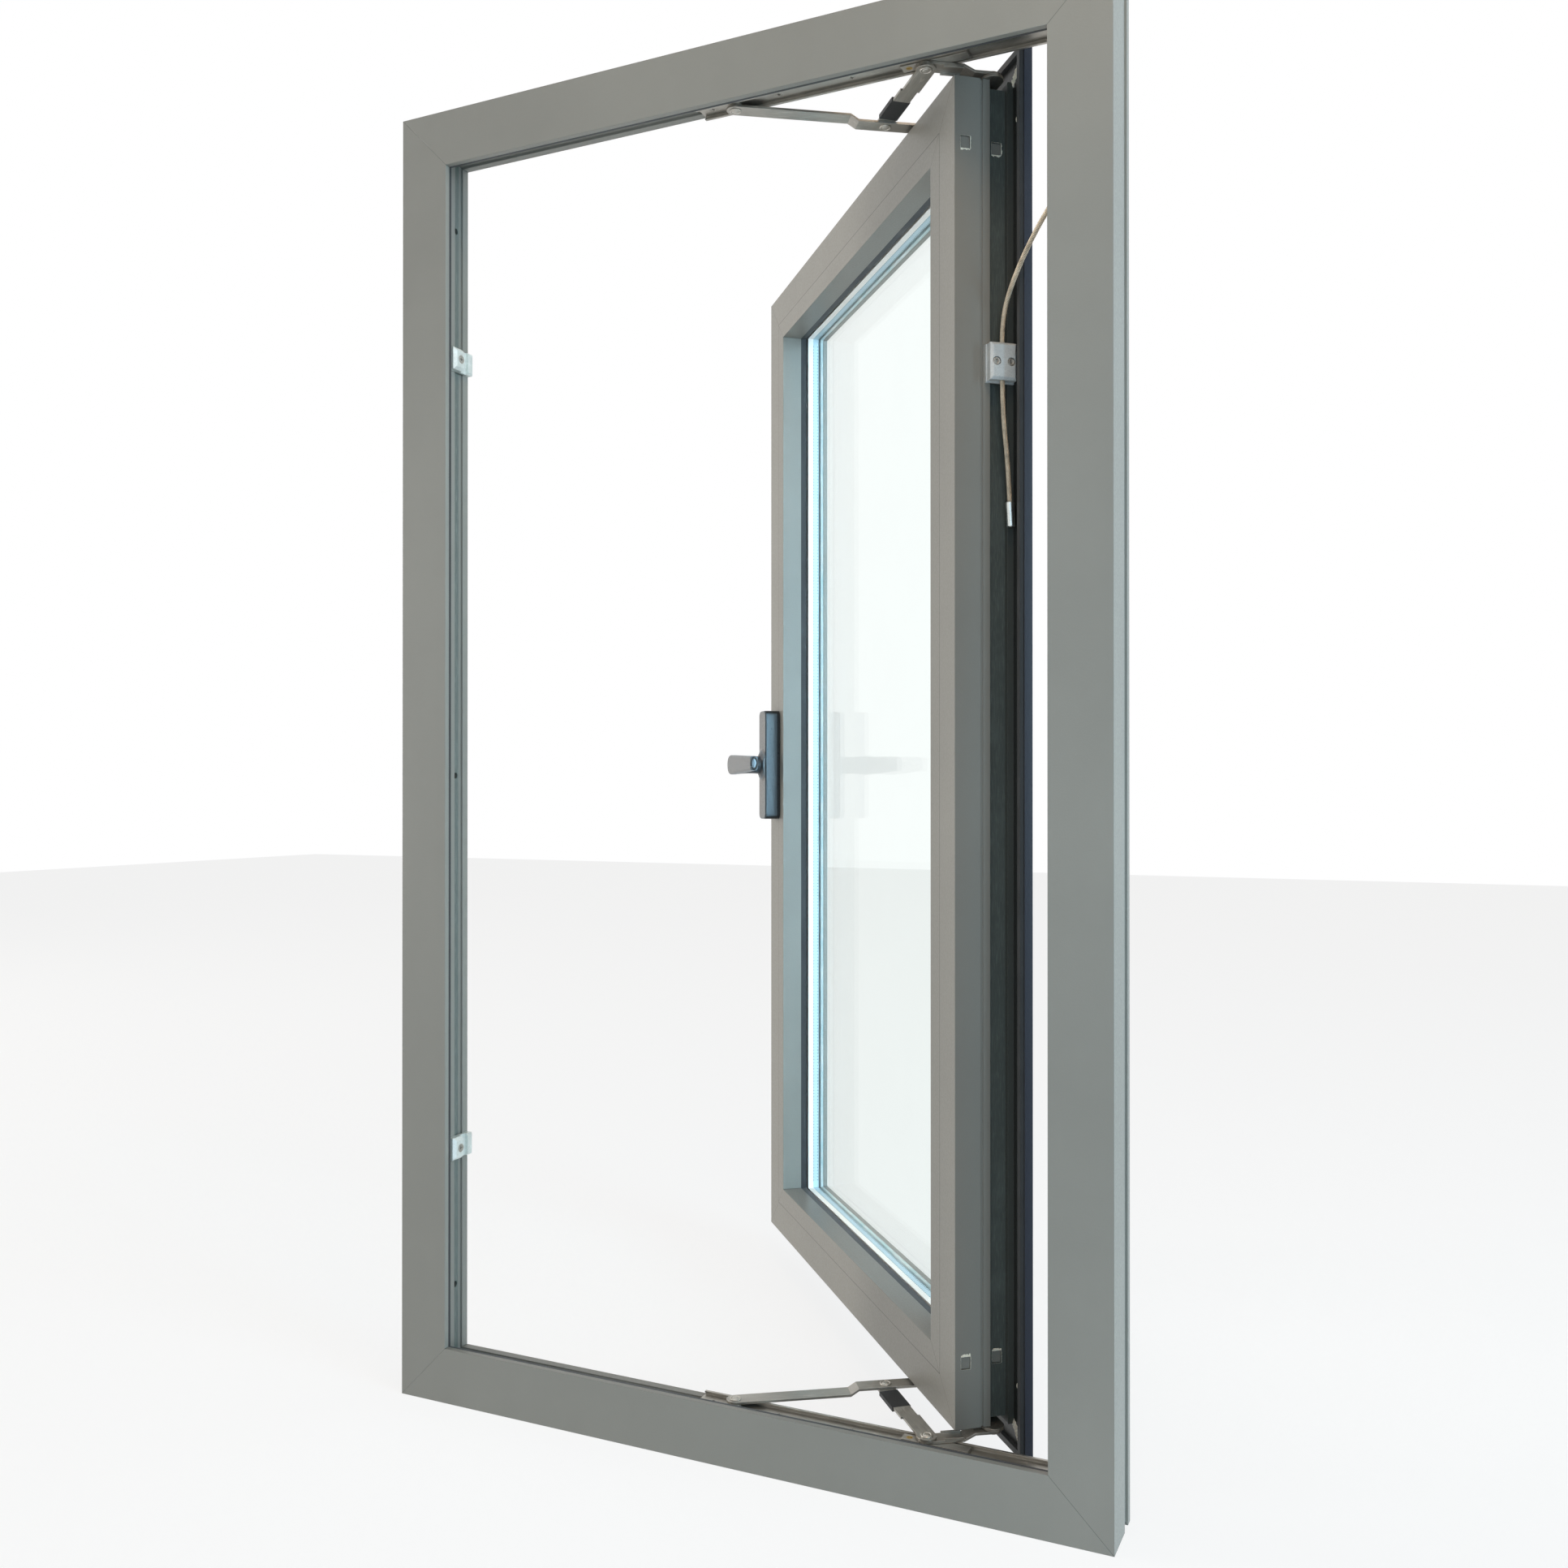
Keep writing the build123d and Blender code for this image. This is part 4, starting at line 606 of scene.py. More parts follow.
def twisted_cable(name, points):
    """Strands laid round a core along a cable's route: the mesh, its line and its length."""
    sizes = bpy.context.scene.casement_cable
    line, length = spline_points(points)
    pairs = cross_directions(line)
    strand = sizes.radius * sin(pi / sizes.strands) / (1 + sin(pi / sizes.strands))
    orbit = sizes.radius - strand
    bm = bmesh.new()
    add_tube(bm, line, pairs, orbit - 0.6 * strand)
    step = length / (len(line) - 1)
    for index in range(sizes.strands):
        centres = []
        for at, (centre, (u, v)) in enumerate(zip(line, pairs)):
            angle = 2 * pi * (index / sizes.strands + at * step / sizes.lay)
            centres.append(centre + (u * cos(angle) + v * sin(angle)) * orbit)
        add_tube(bm, centres, cross_directions(centres), strand)
    return finished(bm, name), line, length


def lathe(profile, sides=32, unit=1.0):
    """Turn (radius, height) points round the upright, each end closed on the axis."""
    bm, rings = bmesh.new(), []
    for radius, height in profile:
        radius, height = radius * unit, height * unit
        if radius:
            corners = [(radius * cos(a), radius * sin(a), height) for a in corner_angles(sides)]
            rings.append([bm.verts.new(corner) for corner in corners])
        else:
            rings.append([bm.verts.new((0.0, 0.0, height))] * sides)
    for low, high in zip(rings, rings[1:]):
        for k in range(sides):
            after = (k + 1) % sides
            bm.faces.new(list(dict.fromkeys((low[k], low[after], high[after], high[k]))))
    return bm


def prism(sides, radius, low, high):
    """An upright prism."""
    bm = bmesh.new()
    rings = [[bm.verts.new((radius * cos(a), radius * sin(a), z)) for a in corner_angles(sides)] for z in (low, high)]
    bridge(bm, *rings)
    close_ends(bm, *rings)
    return bm


def box(bm, low, high, place):
    """A box between two corners, put in place by a matrix."""
    spans = list(zip(low, high))
    corners = [bm.verts.new(place @ Vector((x, y, z))) for x in spans[0] for y in spans[1] for z in spans[2]]
    sides = ((0, 1, 3, 2), (4, 6, 7, 5), (0, 4, 5, 1), (2, 3, 7, 6), (0, 2, 6, 4), (1, 5, 7, 3))
    for side in sides:
        bm.faces.new([corners[i] for i in side])


def finished(bm, name):
    """Turn a bmesh into a mesh whose faces all look outward."""
    bmesh.ops.recalc_face_normals(bm, faces=bm.faces[:])
    mesh = bpy.data.meshes.new(name)
    bm.to_mesh(mesh)
    bm.free()
    return mesh


def repeat_tree():
    """A tree that puts one piece on every point, turned by the point's own angles."""
    tree = bpy.data.node_groups.new("Repeat a piece", "GeometryNodeTree")
    for name, kind in (("Points", "Geometry"), ("Piece", "Object"), ("Finish", "Material")):
        tree.interface.new_socket(name=name, in_out="INPUT", socket_type="NodeSocket" + kind)
    tree.interface.new_socket(name="Pieces", in_out="OUTPUT", socket_type="NodeSocketGeometry")
    kinds = (
        "NodeGroupInput", "GeometryNodeObjectInfo", "GeometryNodeInputNamedAttribute",
        "FunctionNodeEulerToRotation", "GeometryNodeInstanceOnPoints", "GeometryNodeRealizeInstances",
        "GeometryNodeSetMaterial", "NodeGroupOutput",
    )
    given, piece, turn, turned, lay, solid, paint, out = [tree.nodes.new(kind) for kind in kinds]
    turn.data_type = "FLOAT_VECTOR"
    turn.inputs["Name"].default_value = "turn"
    link = tree.links.new
    link(given.outputs["Piece"], piece.inputs["Object"])
    link(given.outputs["Points"], lay.inputs["Points"])
    link(piece.outputs["Geometry"], lay.inputs["Instance"])
    link(turn.outputs[0], turned.inputs[0])
    link(turned.outputs[0], lay.inputs["Rotation"])
    link(lay.outputs["Instances"], solid.inputs[0])
    link(solid.outputs[0], paint.inputs["Geometry"])
    link(given.outputs["Finish"], paint.inputs["Material"])
    link(paint.outputs[0], out.inputs[0])
    return tree


def repeated(name, pattern, places, material):
    """One mesh that holds the pattern at every (point, rotation matrix)."""
    tree = bpy.data.node_groups.get("Repeat a piece") or repeat_tree()
    seed = new_object("pattern", pattern)
    points = bpy.data.meshes.new("points")
    points.from_pydata([tuple(point) for point, _ in places], [], [])
    turns = points.attributes.new("turn", "FLOAT_VECTOR", "POINT")
    for entry, (_, matrix) in zip(turns.data, places):
        entry.vector = matrix.to_euler()
    holder = new_object("points", points)
    modifier = holder.modifiers.new("repeat", "NODES")
    modifier.node_group = tree
    sockets = tree.interface.items_tree
    given = {item.name: item.identifier for item in sockets if item.in_out == "INPUT"}
    modifier[given["Piece"]] = seed
    modifier[given["Finish"]] = material
    holder.update_tag()
    bpy.context.view_layer.update()
    evaluated = holder.evaluated_get(bpy.context.evaluated_depsgraph_get())
    mesh = bpy.data.meshes.new_from_object(evaluated)
    mesh.name = name
    holder.modifiers.remove(modifier)
    for thing in (seed, holder):
        bpy.data.objects.remove(thing)
    for data in (pattern, points):
        bpy.data.meshes.remove(data)
    return mesh


UPRIGHT = Matrix.Identity(3)
INVERTED = Matrix.Rotation(pi, 3, "X")


def sill_and_head(point):
    """A stay's place over the sill and its mirrored place under the head."""
    levels = ((REBATE_W, UPRIGHT), (FRAME_H - REBATE_W, INVERTED))
    return [(Vector((point.x, point.y, z)), turn) for z, turn in levels]


# ---- operators
class CASEMENT_OT_rivets(bpy.types.Operator):
    """Turn the stays' rivets: domed middles in a rolled ring."""

    bl_idname = "casement.rivets"
    bl_label = "Stay rivets"

    def execute(self, context):
        colour = shade(context.scene.casement_colours.stainless, 1.25)
        steel = brushed_steel("turned rivet steel", colour, 20.0)
        rivets = (
            ("stay_middle_rivets", "arms", MIDDLE, middle_rivet()),
            ("stay_shoe_rivets", "shoes", SHOE_AT, shoe_rivet()),
            ("stay_fixed_rivets", "frame", FIX, fixed_rivet()),
        )
        for node, body, point, profile in rivets:
            pattern = finished(lathe(profile), "pattern")
            mesh = repeated(node, pattern, sill_and_head(point), steel)
            piece = new_piece(node + "_turned", mesh, steel, body)
            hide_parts(node)
        return {"FINISHED"}


def rolled_head(low, high):
    """The upper half of a rivet's outline: a flat ring, a groove and a domed middle."""
    ring = [(HEAD_R, low), (HEAD_R, high - 0.7 * MM), (HEAD_R - 0.4 * MM, high - 0.35 * MM)]
    # Radius, and fall below the top, in millimetres.
    inner = ((3.7, 0.3), (3.4, 0.75), (3.0, 0.75), (2.8, 0.35), (2.0, 0.1), (1.0, 0.02))
    return ring + [(radius * MM, high - fall * MM) for radius, fall in inner] + [(0.0, high)]


def middle_rivet():
    """Outline of the rivet between long arm and short link."""
    foot = MIDDLE_LOW + HEAD_TALL
    outline = [(0.0, MIDDLE_LOW), (HEAD_R, MIDDLE_LOW), (HEAD_R, foot), (SHANK_R, foot)]
    return outline + [(SHANK_R, ARM_HIGH)] + rolled_head(ARM_HIGH, ARM_HIGH + HEAD_TALL)


def shoe_rivet():
    """Outline of the rivet in the shoe, wider at its head."""
    seat = LINK_HIGH + 0.1 * MM
    return [(0.0, SHOE_LOW), (SHANK_R, SHOE_LOW), (SHANK_R, seat)] + rolled_head(seat, seat + HEAD_TALL)


def fixed_rivet():
    """Outline of the rivet that holds the long arm to its track."""
    collar = SHANK_R + 2.0 * MM
    foot, low, high = 0.2 * MM, 1.2 * MM, 4.5 * MM
    outline = [(0.0, foot), (SHANK_R, foot), (SHANK_R, low), (collar, low), (collar, high)]
    return outline + [(SHANK_R, high), (SHANK_R, FIXED_HIGH)] + rolled_head(FIXED_HIGH, 7.8 * MM)


class CASEMENT_OT_clamp_screws(bpy.types.Operator):
    """Turn the two socket screws of the cable clamp, each in its counterbore."""

    bl_idname = "casement.clamp_screws"
    bl_label = "Clamp screws"

    def execute(self, context):
        colour = shade(context.scene.casement_colours.stainless, 1.2)
        steel = brushed_steel("socket screw steel", colour, 70.0)
        # Radius and height in millimetres: tip, shank, head with its bevel, and socket.
        outline = (
            (0.0, -18.0), (2.0, -18.0), (2.0, -2.0), (3.0, -2.0), (3.0, -0.7),
            (2.6, -0.3), (1.9, -0.3), (1.6, -0.6), (1.6, -1.6), (0.0, -1.6),
        )
        pattern = finished(lathe(outline, 24, MM), "pattern")
        turn = SASH_TURN.to_3x3() @ Matrix.Rotation(radians(90.0), 3, "Y")
        places = [
            (carried(CLAMP_FACE, SASH_SET + GROOVE_MID + shift, CLAMP_Z), turn)
            for shift in (-CLAMP_SCREWS / 2, CLAMP_SCREWS / 2)
        ]
        mesh = repeated("clamp screws", pattern, places, steel)
        piece = new_piece("cable_clamp_screws_turned", mesh, steel, "sash")
        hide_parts("cable_clamp_screws")
        return {"FINISHED"}


class CASEMENT_OT_spacer_holes(bpy.types.Operator):
    """Lay the two rows of breather holes along the spacer bar as dark discs, painted shade of the holes."""

    bl_idname = "casement.spacer_holes"
    bl_label = "Spacer holes"

    def execute(self, context):
        sizes = context.scene.casement_spacer
        # Painted shade: dark discs on the spacer stand in for the shade inside its holes.
        dark = gasket_rubber("punched hole", tone(70, 104, 108), **on_sash())
        hole = finished(prism(8, sizes.hole / 2, -0.1 * MM, 0.05 * MM), "pattern")
        middle = (SPACER_START + SPACER_STOP) / 2 + 2.6 * MM  # the rows lie toward the weather side
        inset = SIGHT - 1.0 * MM
        half_w, half_h = SASH_W / 2 - inset, SASH_H / 2 - inset
        turn = SASH_TURN.to_3x3()
        places = []
        # Half a bar's length, its distance from the middle, and its turn.
        for half, reach, angle in (
            (half_w, half_h, 0.0), (half_w, half_h, 180.0), (half_h, half_w, 90.0), (half_h, half_w, -90.0)
        ):
            count = int((2 * half - 12.0 * MM) / sizes.pitch)
            spin = Matrix.Rotation(radians(angle), 3, "Y")
            for row in (-sizes.rows_apart / 2, sizes.rows_apart / 2):
                for index in range(count):
                    along = (index - (count - 1) / 2) * sizes.pitch
                    flat = spin @ Vector((along, 0.0, -reach))
                    places.append((carried(flat.x, middle + row, FRAME_H / 2 + flat.z), turn @ spin))
        mesh = repeated("spacer holes", hole, places, dark)
        new_piece("spacer_breather_holes", mesh, dark, "sash")
        return {"FINISHED"}


class CASEMENT_OT_lever_end(bpy.types.Operator):
    """Set the bright oval cap with its dark rim into the lever's flat end."""

    bl_idname = "casement.lever_end"
    bl_label = "Lever end cap"

    def execute(self, context):
        dark = shade(context.scene.casement_colours.rubber, 0.5)
        place = SASH_TURN @ Matrix.Translation(LEVER_END) @ Matrix.Rotation(radians(90.0), 4, "Y")
        rim = gasket_rubber("cap rim", dark)
        cap = casting("polished cap", tone(122, 136, 146), 0.2, 0.4)
        # Half its width, half its height, and how far it stands out.
        for name, material, wide, high, out, slot in (
            ("lever_end_rim", rim, 4.0 * MM, 7.4 * MM, 0.15 * MM, "black_plastic"),
            ("lever_end_cap", cap, 2.4 * MM, 5.2 * MM, 0.5 * MM, "aluminium"),
        ):
            sunk = -0.6 * MM
            dome = [(1.0, 0.0), (0.92, 0.5 * out), (0.6, 0.9 * out), (0.0, out)]
            bm = lathe([(0.0, sunk), (1.0, sunk)] + dome, 36)
            for vertex in bm.verts:
                vertex.co.x *= high
                vertex.co.y *= wide
            bm.transform(place)
            new_piece(name, finished(bm, name), material, "handle")
        return {"FINISHED"}


class CASEMENT_OT_edge_marks(bpy.types.Operator):
    """Raise the burrs of the hinge edge's punched slots, and set its brackets and small screws."""

    bl_idname = "casement.edge_marks"
    bl_label = "Hinge edge details"

    def execute(self, context):
        bright = casting("torn edge", tone(255, 244, 224), 0.28, 0.0)
        low, high = SASH_MARGIN, FRAME_H - SASH_MARGIN
        half_w, half_h = SLOT_W / 2 - 0.2 * MM, SLOT_H / 2 - 0.2 * MM
        burrs, flaps = bmesh.new(), bmesh.new()
        for height, way in ((low + SLOT_INSET, 1.0), (high - SLOT_INSET, -1.0)):
            for depth, sink in ((SLOT_SET, 0.0), (GROOVE_MID, GROOVE_DEPTH)):
                face, depth = HINGE_EDGE - sink, SASH_SET + depth
                ring_burr(burrs, face, depth, height, way)
                seat = Matrix.Translation((face - 0.9 * MM, depth, height))
                seat = seat @ Matrix.Rotation(radians(4.0 * way), 4, "Y")
                box(flaps, (-1.0 * MM, -half_w, -half_h), (0.0, half_w, half_h), SASH_TURN @ seat)
        new_piece("slot_burrs", finished(burrs, "slot burrs"), bright, "sash")
        coat = bpy.data.materials["sash coat"]
        new_piece("slot_tongues", finished(flaps, "slot tongues"), coat, "sash")
        brackets = bmesh.new()
        for height, way in ((low, 1.0), (high, -1.0)):
            crumpled_bracket(brackets, height, way)
        new_piece("flange_corner_brackets", finished(brackets, "brackets"), bright, "sash")
        # Radius and height of a screw's domed head, in millimetres.
        dome = ((0.0, -0.4), (2.6, -0.4), (2.6, 0.2), (2.2, 0.9), (1.2, 1.5), (0.0, 1.7))
        head = finished(lathe(dome, 20, MM), "pattern")
        turn = SASH_TURN.to_3x3() @ Matrix.Rotation(radians(90.0), 3, "X")
        places = [(carried(HINGE_EDGE + 9.0 * MM, FLANGE_FACE, z), turn) for z in (low + 33.0 * MM, high - 33.0 * MM)]
        mesh = repeated("flange screws", head, places, bright)
        new_piece("flange_screw_heads", mesh, bright, "sash")
        return {"FINISHED"}


def ring_burr(bm, face, depth, height, way):
    """A ragged raised rim round a punched slot, widest on the side toward mid-height."""
    rng = random.Random(int(1e5 * (height + depth)))
    half_w, half_h = SLOT_W / 2, SLOT_H / 2
    corners = [(-half_w, -half_h), (half_w, -half_h), (half_w, half_h), (-half_w, half_h)]
    weights = (0.15, 0.4, 1.7, 0.2) if way > 0 else (1.2, 1.1, 0.2, 0.15)
    steps = 7
    for index, weight in enumerate(weights):
        start, stop = Vector((*corners[index], 0.0)), Vector((*corners[(index + 1) % 4], 0.0))
        outward = Vector(((stop - start).y, -(stop - start).x, 0.0)).normalized()
        for step in range(steps):
            low, high = start.lerp(stop, step / steps), start.lerp(stop, (step + 1) / steps)
            wide = MM * weight * rng.uniform(0.6, 1.3)
            tall = 0.35 * MM * weight * rng.uniform(0.6, 1.4)
            quad = [low, high, high + outward * wide, low + outward * wide]
            rises = (tall, tall, 0.05 * MM, 0.05 * MM)
            base = [bm.verts.new(carried(face - 0.2 * MM, depth + q.x, height + q.y)) for q in quad]
            top = [bm.verts.new(carried(face + rise, depth + q.x, height + q.y)) for q, rise in zip(quad, rises)]
            bm.faces.new(base)
            bm.faces.new(top)
            bridge(bm, base, top)


def crumpled_bracket(bm, height, way):
    """A dented corner bracket that runs from the sash's corner out along the flange's mitre."""
    rng = random.Random(int(1000 * height))
    along, wide = 14, 6
    start, stop = Vector((-1.5 * MM, 2.0 * MM)), Vector((11.0 * MM, -8.5 * MM))
    line = stop - start
    side = Vector((-line.y, line.x)).normalized()
    front, back = [], []
    for i in range(along + 1):
        middle = start + line * (i / along) + side * rng.uniform(-0.7, 0.7) * MM
        half = 3.6 * MM * rng.uniform(0.75, 1.1)
        for j in range(wide + 1):
            point = middle + side * half * (2 * j / wide - 1)
            inner = 0 < i < along and 0 < j < wide
            lift = rng.uniform(0.35, 1.5) * MM if inner else 0.15 * MM
            x, z = HINGE_EDGE + point.x, height + way * point.y
            front.append(bm.verts.new(carried(x, FLANGE_FACE - lift, z)))
            back.append(bm.verts.new(carried(x, FLANGE_FACE + 0.1 * MM, z)))

    def at(i, j):
        return i * (wide + 1) + j

    for verts in (front, back):
        for i in range(along):
            for j in range(wide):
                cell = (at(i, j), at(i + 1, j), at(i + 1, j + 1), at(i, j + 1))
                bm.faces.new([verts[k] for k in cell])
    rim = [at(i, 0) for i in range(along)] + [at(along, j) for j in range(wide)]
    rim += [at(i, wide) for i in range(along, 0, -1)] + [at(0, j) for j in range(wide, 0, -1)]
    bridge(bm, [front[k] for k in rim], [back[k] for k in rim])


class CASEMENT_OT_cables(bpy.types.Operator):
    """Lay the restrictor cable from the jamb to the clamp, and its tail below the clamp."""

    bl_idname = "casement.cables"
    bl_label = "Restrictor cable"

    def execute(self, context):
        steel = cable_steel("cable steel", context.scene.casement_colours.cable)
        foot = carried(0.283, 0.0465, 0.896)  # where the cable leaves the clamp's top
        anchor = Vector((0.2855, 0.033, 1.021))  # where it enters the anchor
        rise = ((0.0, 0.0, 0.0), (0.0, 0.0, 0.018), (0.008, -0.005, 0.042), (0.028, -0.0155, 0.074))
        reach_up = ((-0.014, 0.007, -0.024), (0.0, 0.0, -0.008), (0.0, 0.0, 0.008667))
        upper = [foot + Vector(step) for step in rise] + [anchor + Vector(step) for step in reach_up]
        mesh, line, length = twisted_cable("cable upper", upper)
        piece = new_piece("cable_upper_strands", mesh, steel, "sash")
        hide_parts("cable_upper")
        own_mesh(piece)
        tail = [foot] + [
            carried(x, y, z)
            for x, y, z in (
                (0.283, 0.0465, 0.860), (0.2828, 0.0481, 0.832),
                (0.2826, 0.0515, 0.802), (0.2826, 0.0531, 0.772),
            )
        ]
        mesh, line, length = twisted_cable("cable tail", tail)
        piece = new_piece("cable_tail_strands", mesh, steel, "sash")
        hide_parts("cable_tail")
        return {"FINISHED"}


class CASEMENT_OT_finishes(bpy.types.Operator):
    """Give every CAD node of the window its finish."""

    bl_idname = "casement.finishes"
    bl_label = "Finishes"

    def execute(self, context):
        c = context.scene.casement_colours
        sash, steel = on_sash(), c.stainless
        assign(powder_coat("frame coat", c.coat, FRAME_W, FRAME_H),
               "frame_sill", "frame_head", "frame_lock_jamb", "frame_hinge_jamb")
        assign(powder_coat("sash coat", c.coat, SASH_W, SASH_H, STILE_W, tuple(c.rebate_shade), **sash),
               "sash_bottom_rail", "sash_top_rail", "sash_lock_stile", "sash_hinge_stile",
               "glazing_bead_bottom", "glazing_bead_top", "glazing_bead_left", "glazing_bead_right")
        assign(handle_coat("handle coat", c.handle, c.handle_side_shade, **sash), "handle_base", "handle_lever")
        assign(gasket_rubber("frame rubber", c.rubber), "frame_gasket")
        assign(gasket_rubber("sash rubber", c.rubber, **sash), "gasket_flange", "gasket_glazing_inner")
        assign(gasket_rubber("outer glazing rubber", tone(196, 226, 232), **sash), "gasket_glazing_outer")
        assign(glass_filled_nylon("frame polyamide", shade(c.polyamide, 1.5)), "frame_thermal_breaks")
        assign(glass_filled_nylon("sash polyamide", c.polyamide, **sash),
               "sash_thermal_breaks", "glazing_blocks", "lock_guides")
        assign(brushed_steel("track steel", steel, 0.0), "stay_tracks", "stay_shoes")
        assign(brushed_steel("arm steel", steel, ARM_ANGLE), "stay_long_arms", "stay_nose_links")
        assign(brushed_steel("link steel", steel, -OPEN_ANGLE),
               "stay_short_links", "stay_sash_plates", "lock_rod", "handle_plate")
        assign(brushed_steel("rivet steel", steel, 20.0),
               "stay_middle_rivets", "stay_fixed_rivets", "stay_shoe_rivets", "stay_end_rivets",
               "stay_nose_rivets")
        assign(brushed_steel("screw steel", steel, 70.0),
               "stay_track_screws", "stay_plate_screws", "keeper_screws", "cable_anchor_screw",
               "cable_clamp_screws", "handle_screws", "handle_spindle")
        assign(glass_filled_nylon("pad nylon", shade(c.rubber, 0.8)), "stay_link_pads")
        assign(casting("friction brass", c.brass, 0.3, 1.0), "stay_friction_screws")
        assign(casting("zinc casting", c.zinc, 0.3, 0.55), "keeper_lower", "keeper_upper", "lock_cams")
        assign(casting("cleat casting", shade(c.zinc, 0.8), 0.4, 0.9),
               "frame_corner_cleats", "sash_corner_cleats", "lock_gear_case")
        assign(casting("clamp alloy", c.alloy, 0.38, 0.15), "cable_clamp_base", "cable_clamp_cover", "cable_anchor")
        assign(casting("ferrule alloy", c.zinc, 0.24, 1.0), "cable_ferrule", "cable_upper", "cable_tail")
        assign(spacer_alloy("spacer alloy", tone(255, 248, 242), tone(190, 214, 224), **sash), "glass_spacer")
        assign(gasket_rubber("edge sealant", tone(60, 64, 66), **sash), "glass_sealant")
        assign(clear_glass("float glass", c.glass, **sash), "glass_inner", "glass_outer")
        for name in ("glass_inner", "glass_outer"):
            NODES[name].visible_shadow = False
        return {"FINISHED"}


class CASEMENT_OT_stage(bpy.types.Operator):
    """Set the floor, the white surroundings, the lamps and the camera."""

    bl_idname = "casement.stage"
    bl_label = "Stage"

    def execute(self, context):
        stage = context.scene.casement_stage
        scene = context.scene
        scene.view_settings.view_transform = "Standard"
        mesh = bpy.data.meshes.new("floor")
        low = FRAME_BOX[0][2] - 0.2 * MM
        corners = ((-1, -1), (1, -1), (1, 1), (-1, 1))
        mesh.from_pydata([(x * FLOOR_HALF, y * FLOOR_HALF, low) for x, y in corners], [], [(0, 1, 2, 3)])
        floor = new_object("floor", mesh)
        mesh.materials.append(floor_paint("floor paint", stage.floor))
        surroundings(scene, stage.ambient)
        # Place, target, size, power and colour.
        lamp("room lamp", (-4.35, -1.15, 1.0), (0.05, 0.1, 0.6), 2.0, stage.room_lamp, (1.0, 0.95, 0.89))
        lamp("side lamp", (3.3, -0.6, 1.0), (0.0, 0.1, 0.6), 1.6, stage.side_lamp, (0.55, 0.82, 1.0))
        lamp("top lamp", (0.5, -0.45, 1.75), (0.28, 0.0, 1.1), 0.4, stage.top_lamp, (1.0, 0.72, 0.48))
        lamp("edge lamp", (1.0, -1.3, 0.5), (0.25, 0.1, 0.55), 1.2, stage.edge_lamp, (0.35, 0.7, 1.0))
        data = bpy.data.cameras.new("camera")
        data.sensor_width = 36.0
        data.lens = stage.lens
        data.clip_start = 0.02
        camera = new_object("camera", data)
        camera.location = CAMERA_AT
        camera.rotation_euler = [radians(angle) for angle in CAMERA_TURN]
        scene.camera = camera
        return {"FINISHED"}


def floor_paint(name, colour):
    """Plain pale floor that fades into the white surroundings and keeps the shadow."""
    f = Finish(name)
    wear = f.noise(1.6, 3.0, 0.5)
    f.done(f.mix(f.vary(wear), colour, shade(colour, 0.985)), 0.8)
    glow = f.add("Emission", Color=(1.0, 1.0, 1.0, 1.0), Strength=1.0)
    share = f.times(f.seen_directly(), 0.8)
    mixed = f.add("MixShader", i0=share, i1=f.shader.outputs[0], i2=glow.outputs[0])
    f.set(f.find("OUTPUT_MATERIAL"), "Surface", mixed.outputs[0])
    return f.material


def surroundings(scene, ambient):
    """White where it is seen, and an even soft light elsewhere, stronger from the room side."""
    world = bpy.data.worlds.new("surroundings")
    scene.world = world
    world.use_nodes = True
    w = Shading(world.node_tree)
    way = w.add("TexCoord").outputs["Generated"]
    depth = w.add("SeparateXYZ", Vector=way).outputs["Y"]
    back = w.find("BACKGROUND")
    w.set(back, "Color", (1.0, 0.995, 0.98, 1.0))
    w.set(back, "Strength", w.band(depth, -0.6, 0.6, 1.25 * ambient, 0.75 * ambient))
    white = w.add("Background", Color=(1.0, 1.0, 1.0, 1.0), Strength=1.0)
    seen = w.seen_directly()
    mixed = w.add("MixShader", i0=seen, i1=back.outputs[0], i2=white.outputs[0])
    w.set(w.find("OUTPUT_WORLD"), "Surface", mixed.outputs[0])


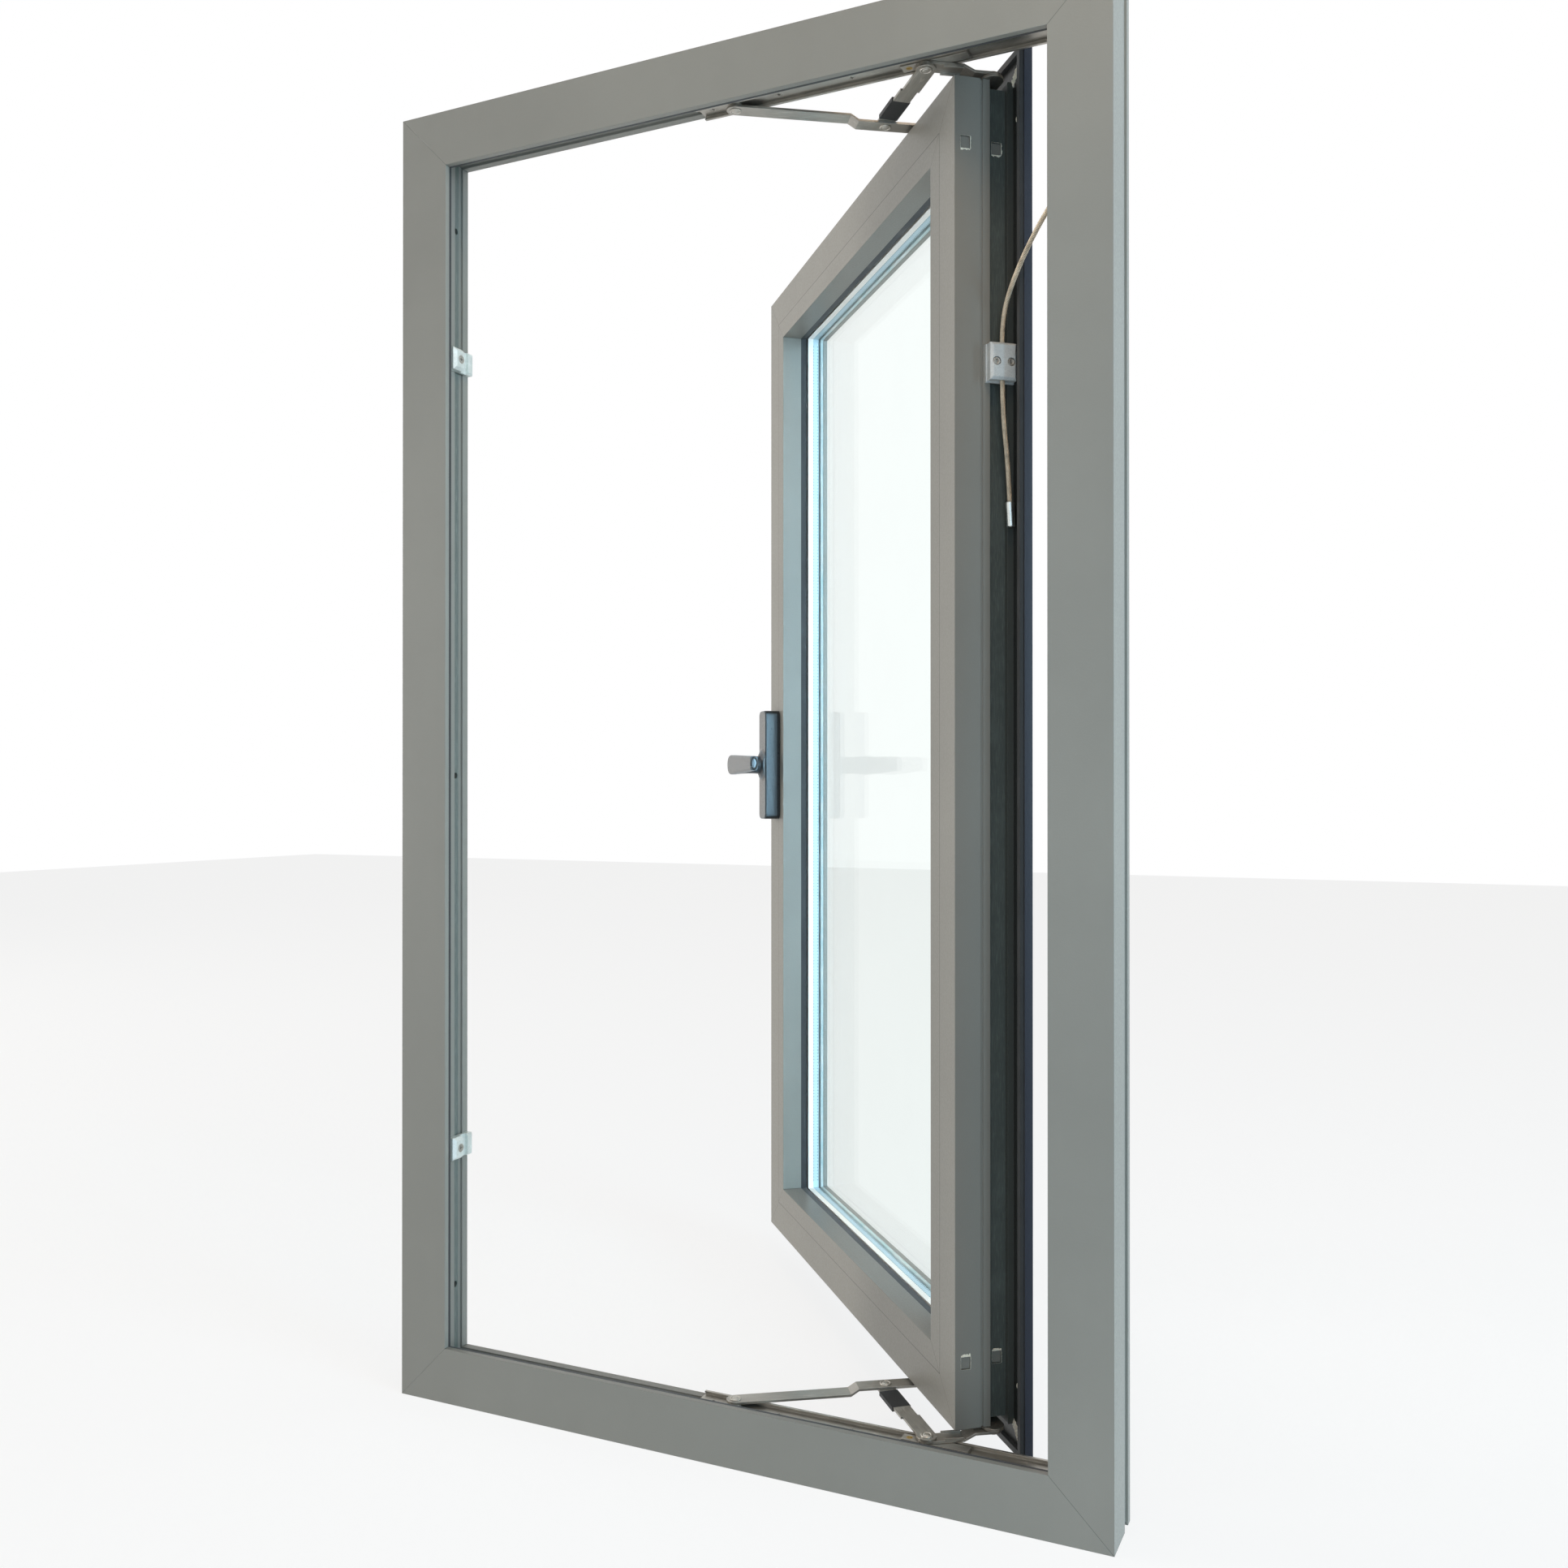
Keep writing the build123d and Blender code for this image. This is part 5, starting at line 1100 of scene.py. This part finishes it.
def lamp(name, place, target, size, power, colour):
    """A square soft lamp aimed at a point."""
    data = bpy.data.lights.new(name, "AREA")
    data.shape = "SQUARE"
    data.size = size
    data.energy = power
    data.color = colour
    thing = new_object(name, data)
    thing.location = place
    thing.rotation_euler = (Vector(target) - Vector(place)).to_track_quat("-Z", "Y").to_euler()


# ---- panel and main
OPERATORS = (
    CASEMENT_OT_stage, CASEMENT_OT_finishes, CASEMENT_OT_rivets, CASEMENT_OT_clamp_screws,
    CASEMENT_OT_spacer_holes, CASEMENT_OT_lever_end, CASEMENT_OT_edge_marks, CASEMENT_OT_cables,
)
GROUPS = (
    ("casement_stage", CasementStage, "Stage", "Floor, lamps and camera"),
    ("casement_colours", CasementColours, "Colours", "Colours of the finishes"),
    ("casement_spacer", CasementSpacer, "Spacer", "Holes along the spacer bar"),
    ("casement_cable", CasementCable, "Cable", "Sizes of the restrictor cable"),
)


class CASEMENT_PT_sidebar(bpy.types.Panel):
    """The window's operators and sizes."""

    bl_idname = "CASEMENT_PT_sidebar"
    bl_label = "Casement window"
    bl_space_type = "VIEW_3D"
    bl_region_type = "UI"
    bl_category = "Casement"

    def draw(self, context):
        for key, kind, _, _ in GROUPS:
            for name in kind.__annotations__:
                self.layout.prop(getattr(context.scene, key), name)
        for operator in OPERATORS:
            self.layout.operator(operator.bl_idname)


CLASSES = (*(kind for _, kind, _, _ in GROUPS), *OPERATORS, CASEMENT_PT_sidebar)


def register():
    """Register the classes and their settings."""
    for cls in CLASSES:
        bpy.utils.register_class(cls)
    for key, kind, name, description in GROUPS:
        setattr(bpy.types.Scene, key, PointerProperty(type=kind, name=name, description=description))


def unregister():
    """Take the settings and classes away again."""
    for key, _, _, _ in GROUPS:
        delattr(bpy.types.Scene, key)
    for cls in reversed(CLASSES):
        bpy.utils.unregister_class(cls)


def main():
    """Build the scene."""
    register()
    for operator in OPERATORS:
        space, name = operator.bl_idname.split(".")
        getattr(getattr(bpy.ops, space), name)()


if __name__ == "__main__":
    main()
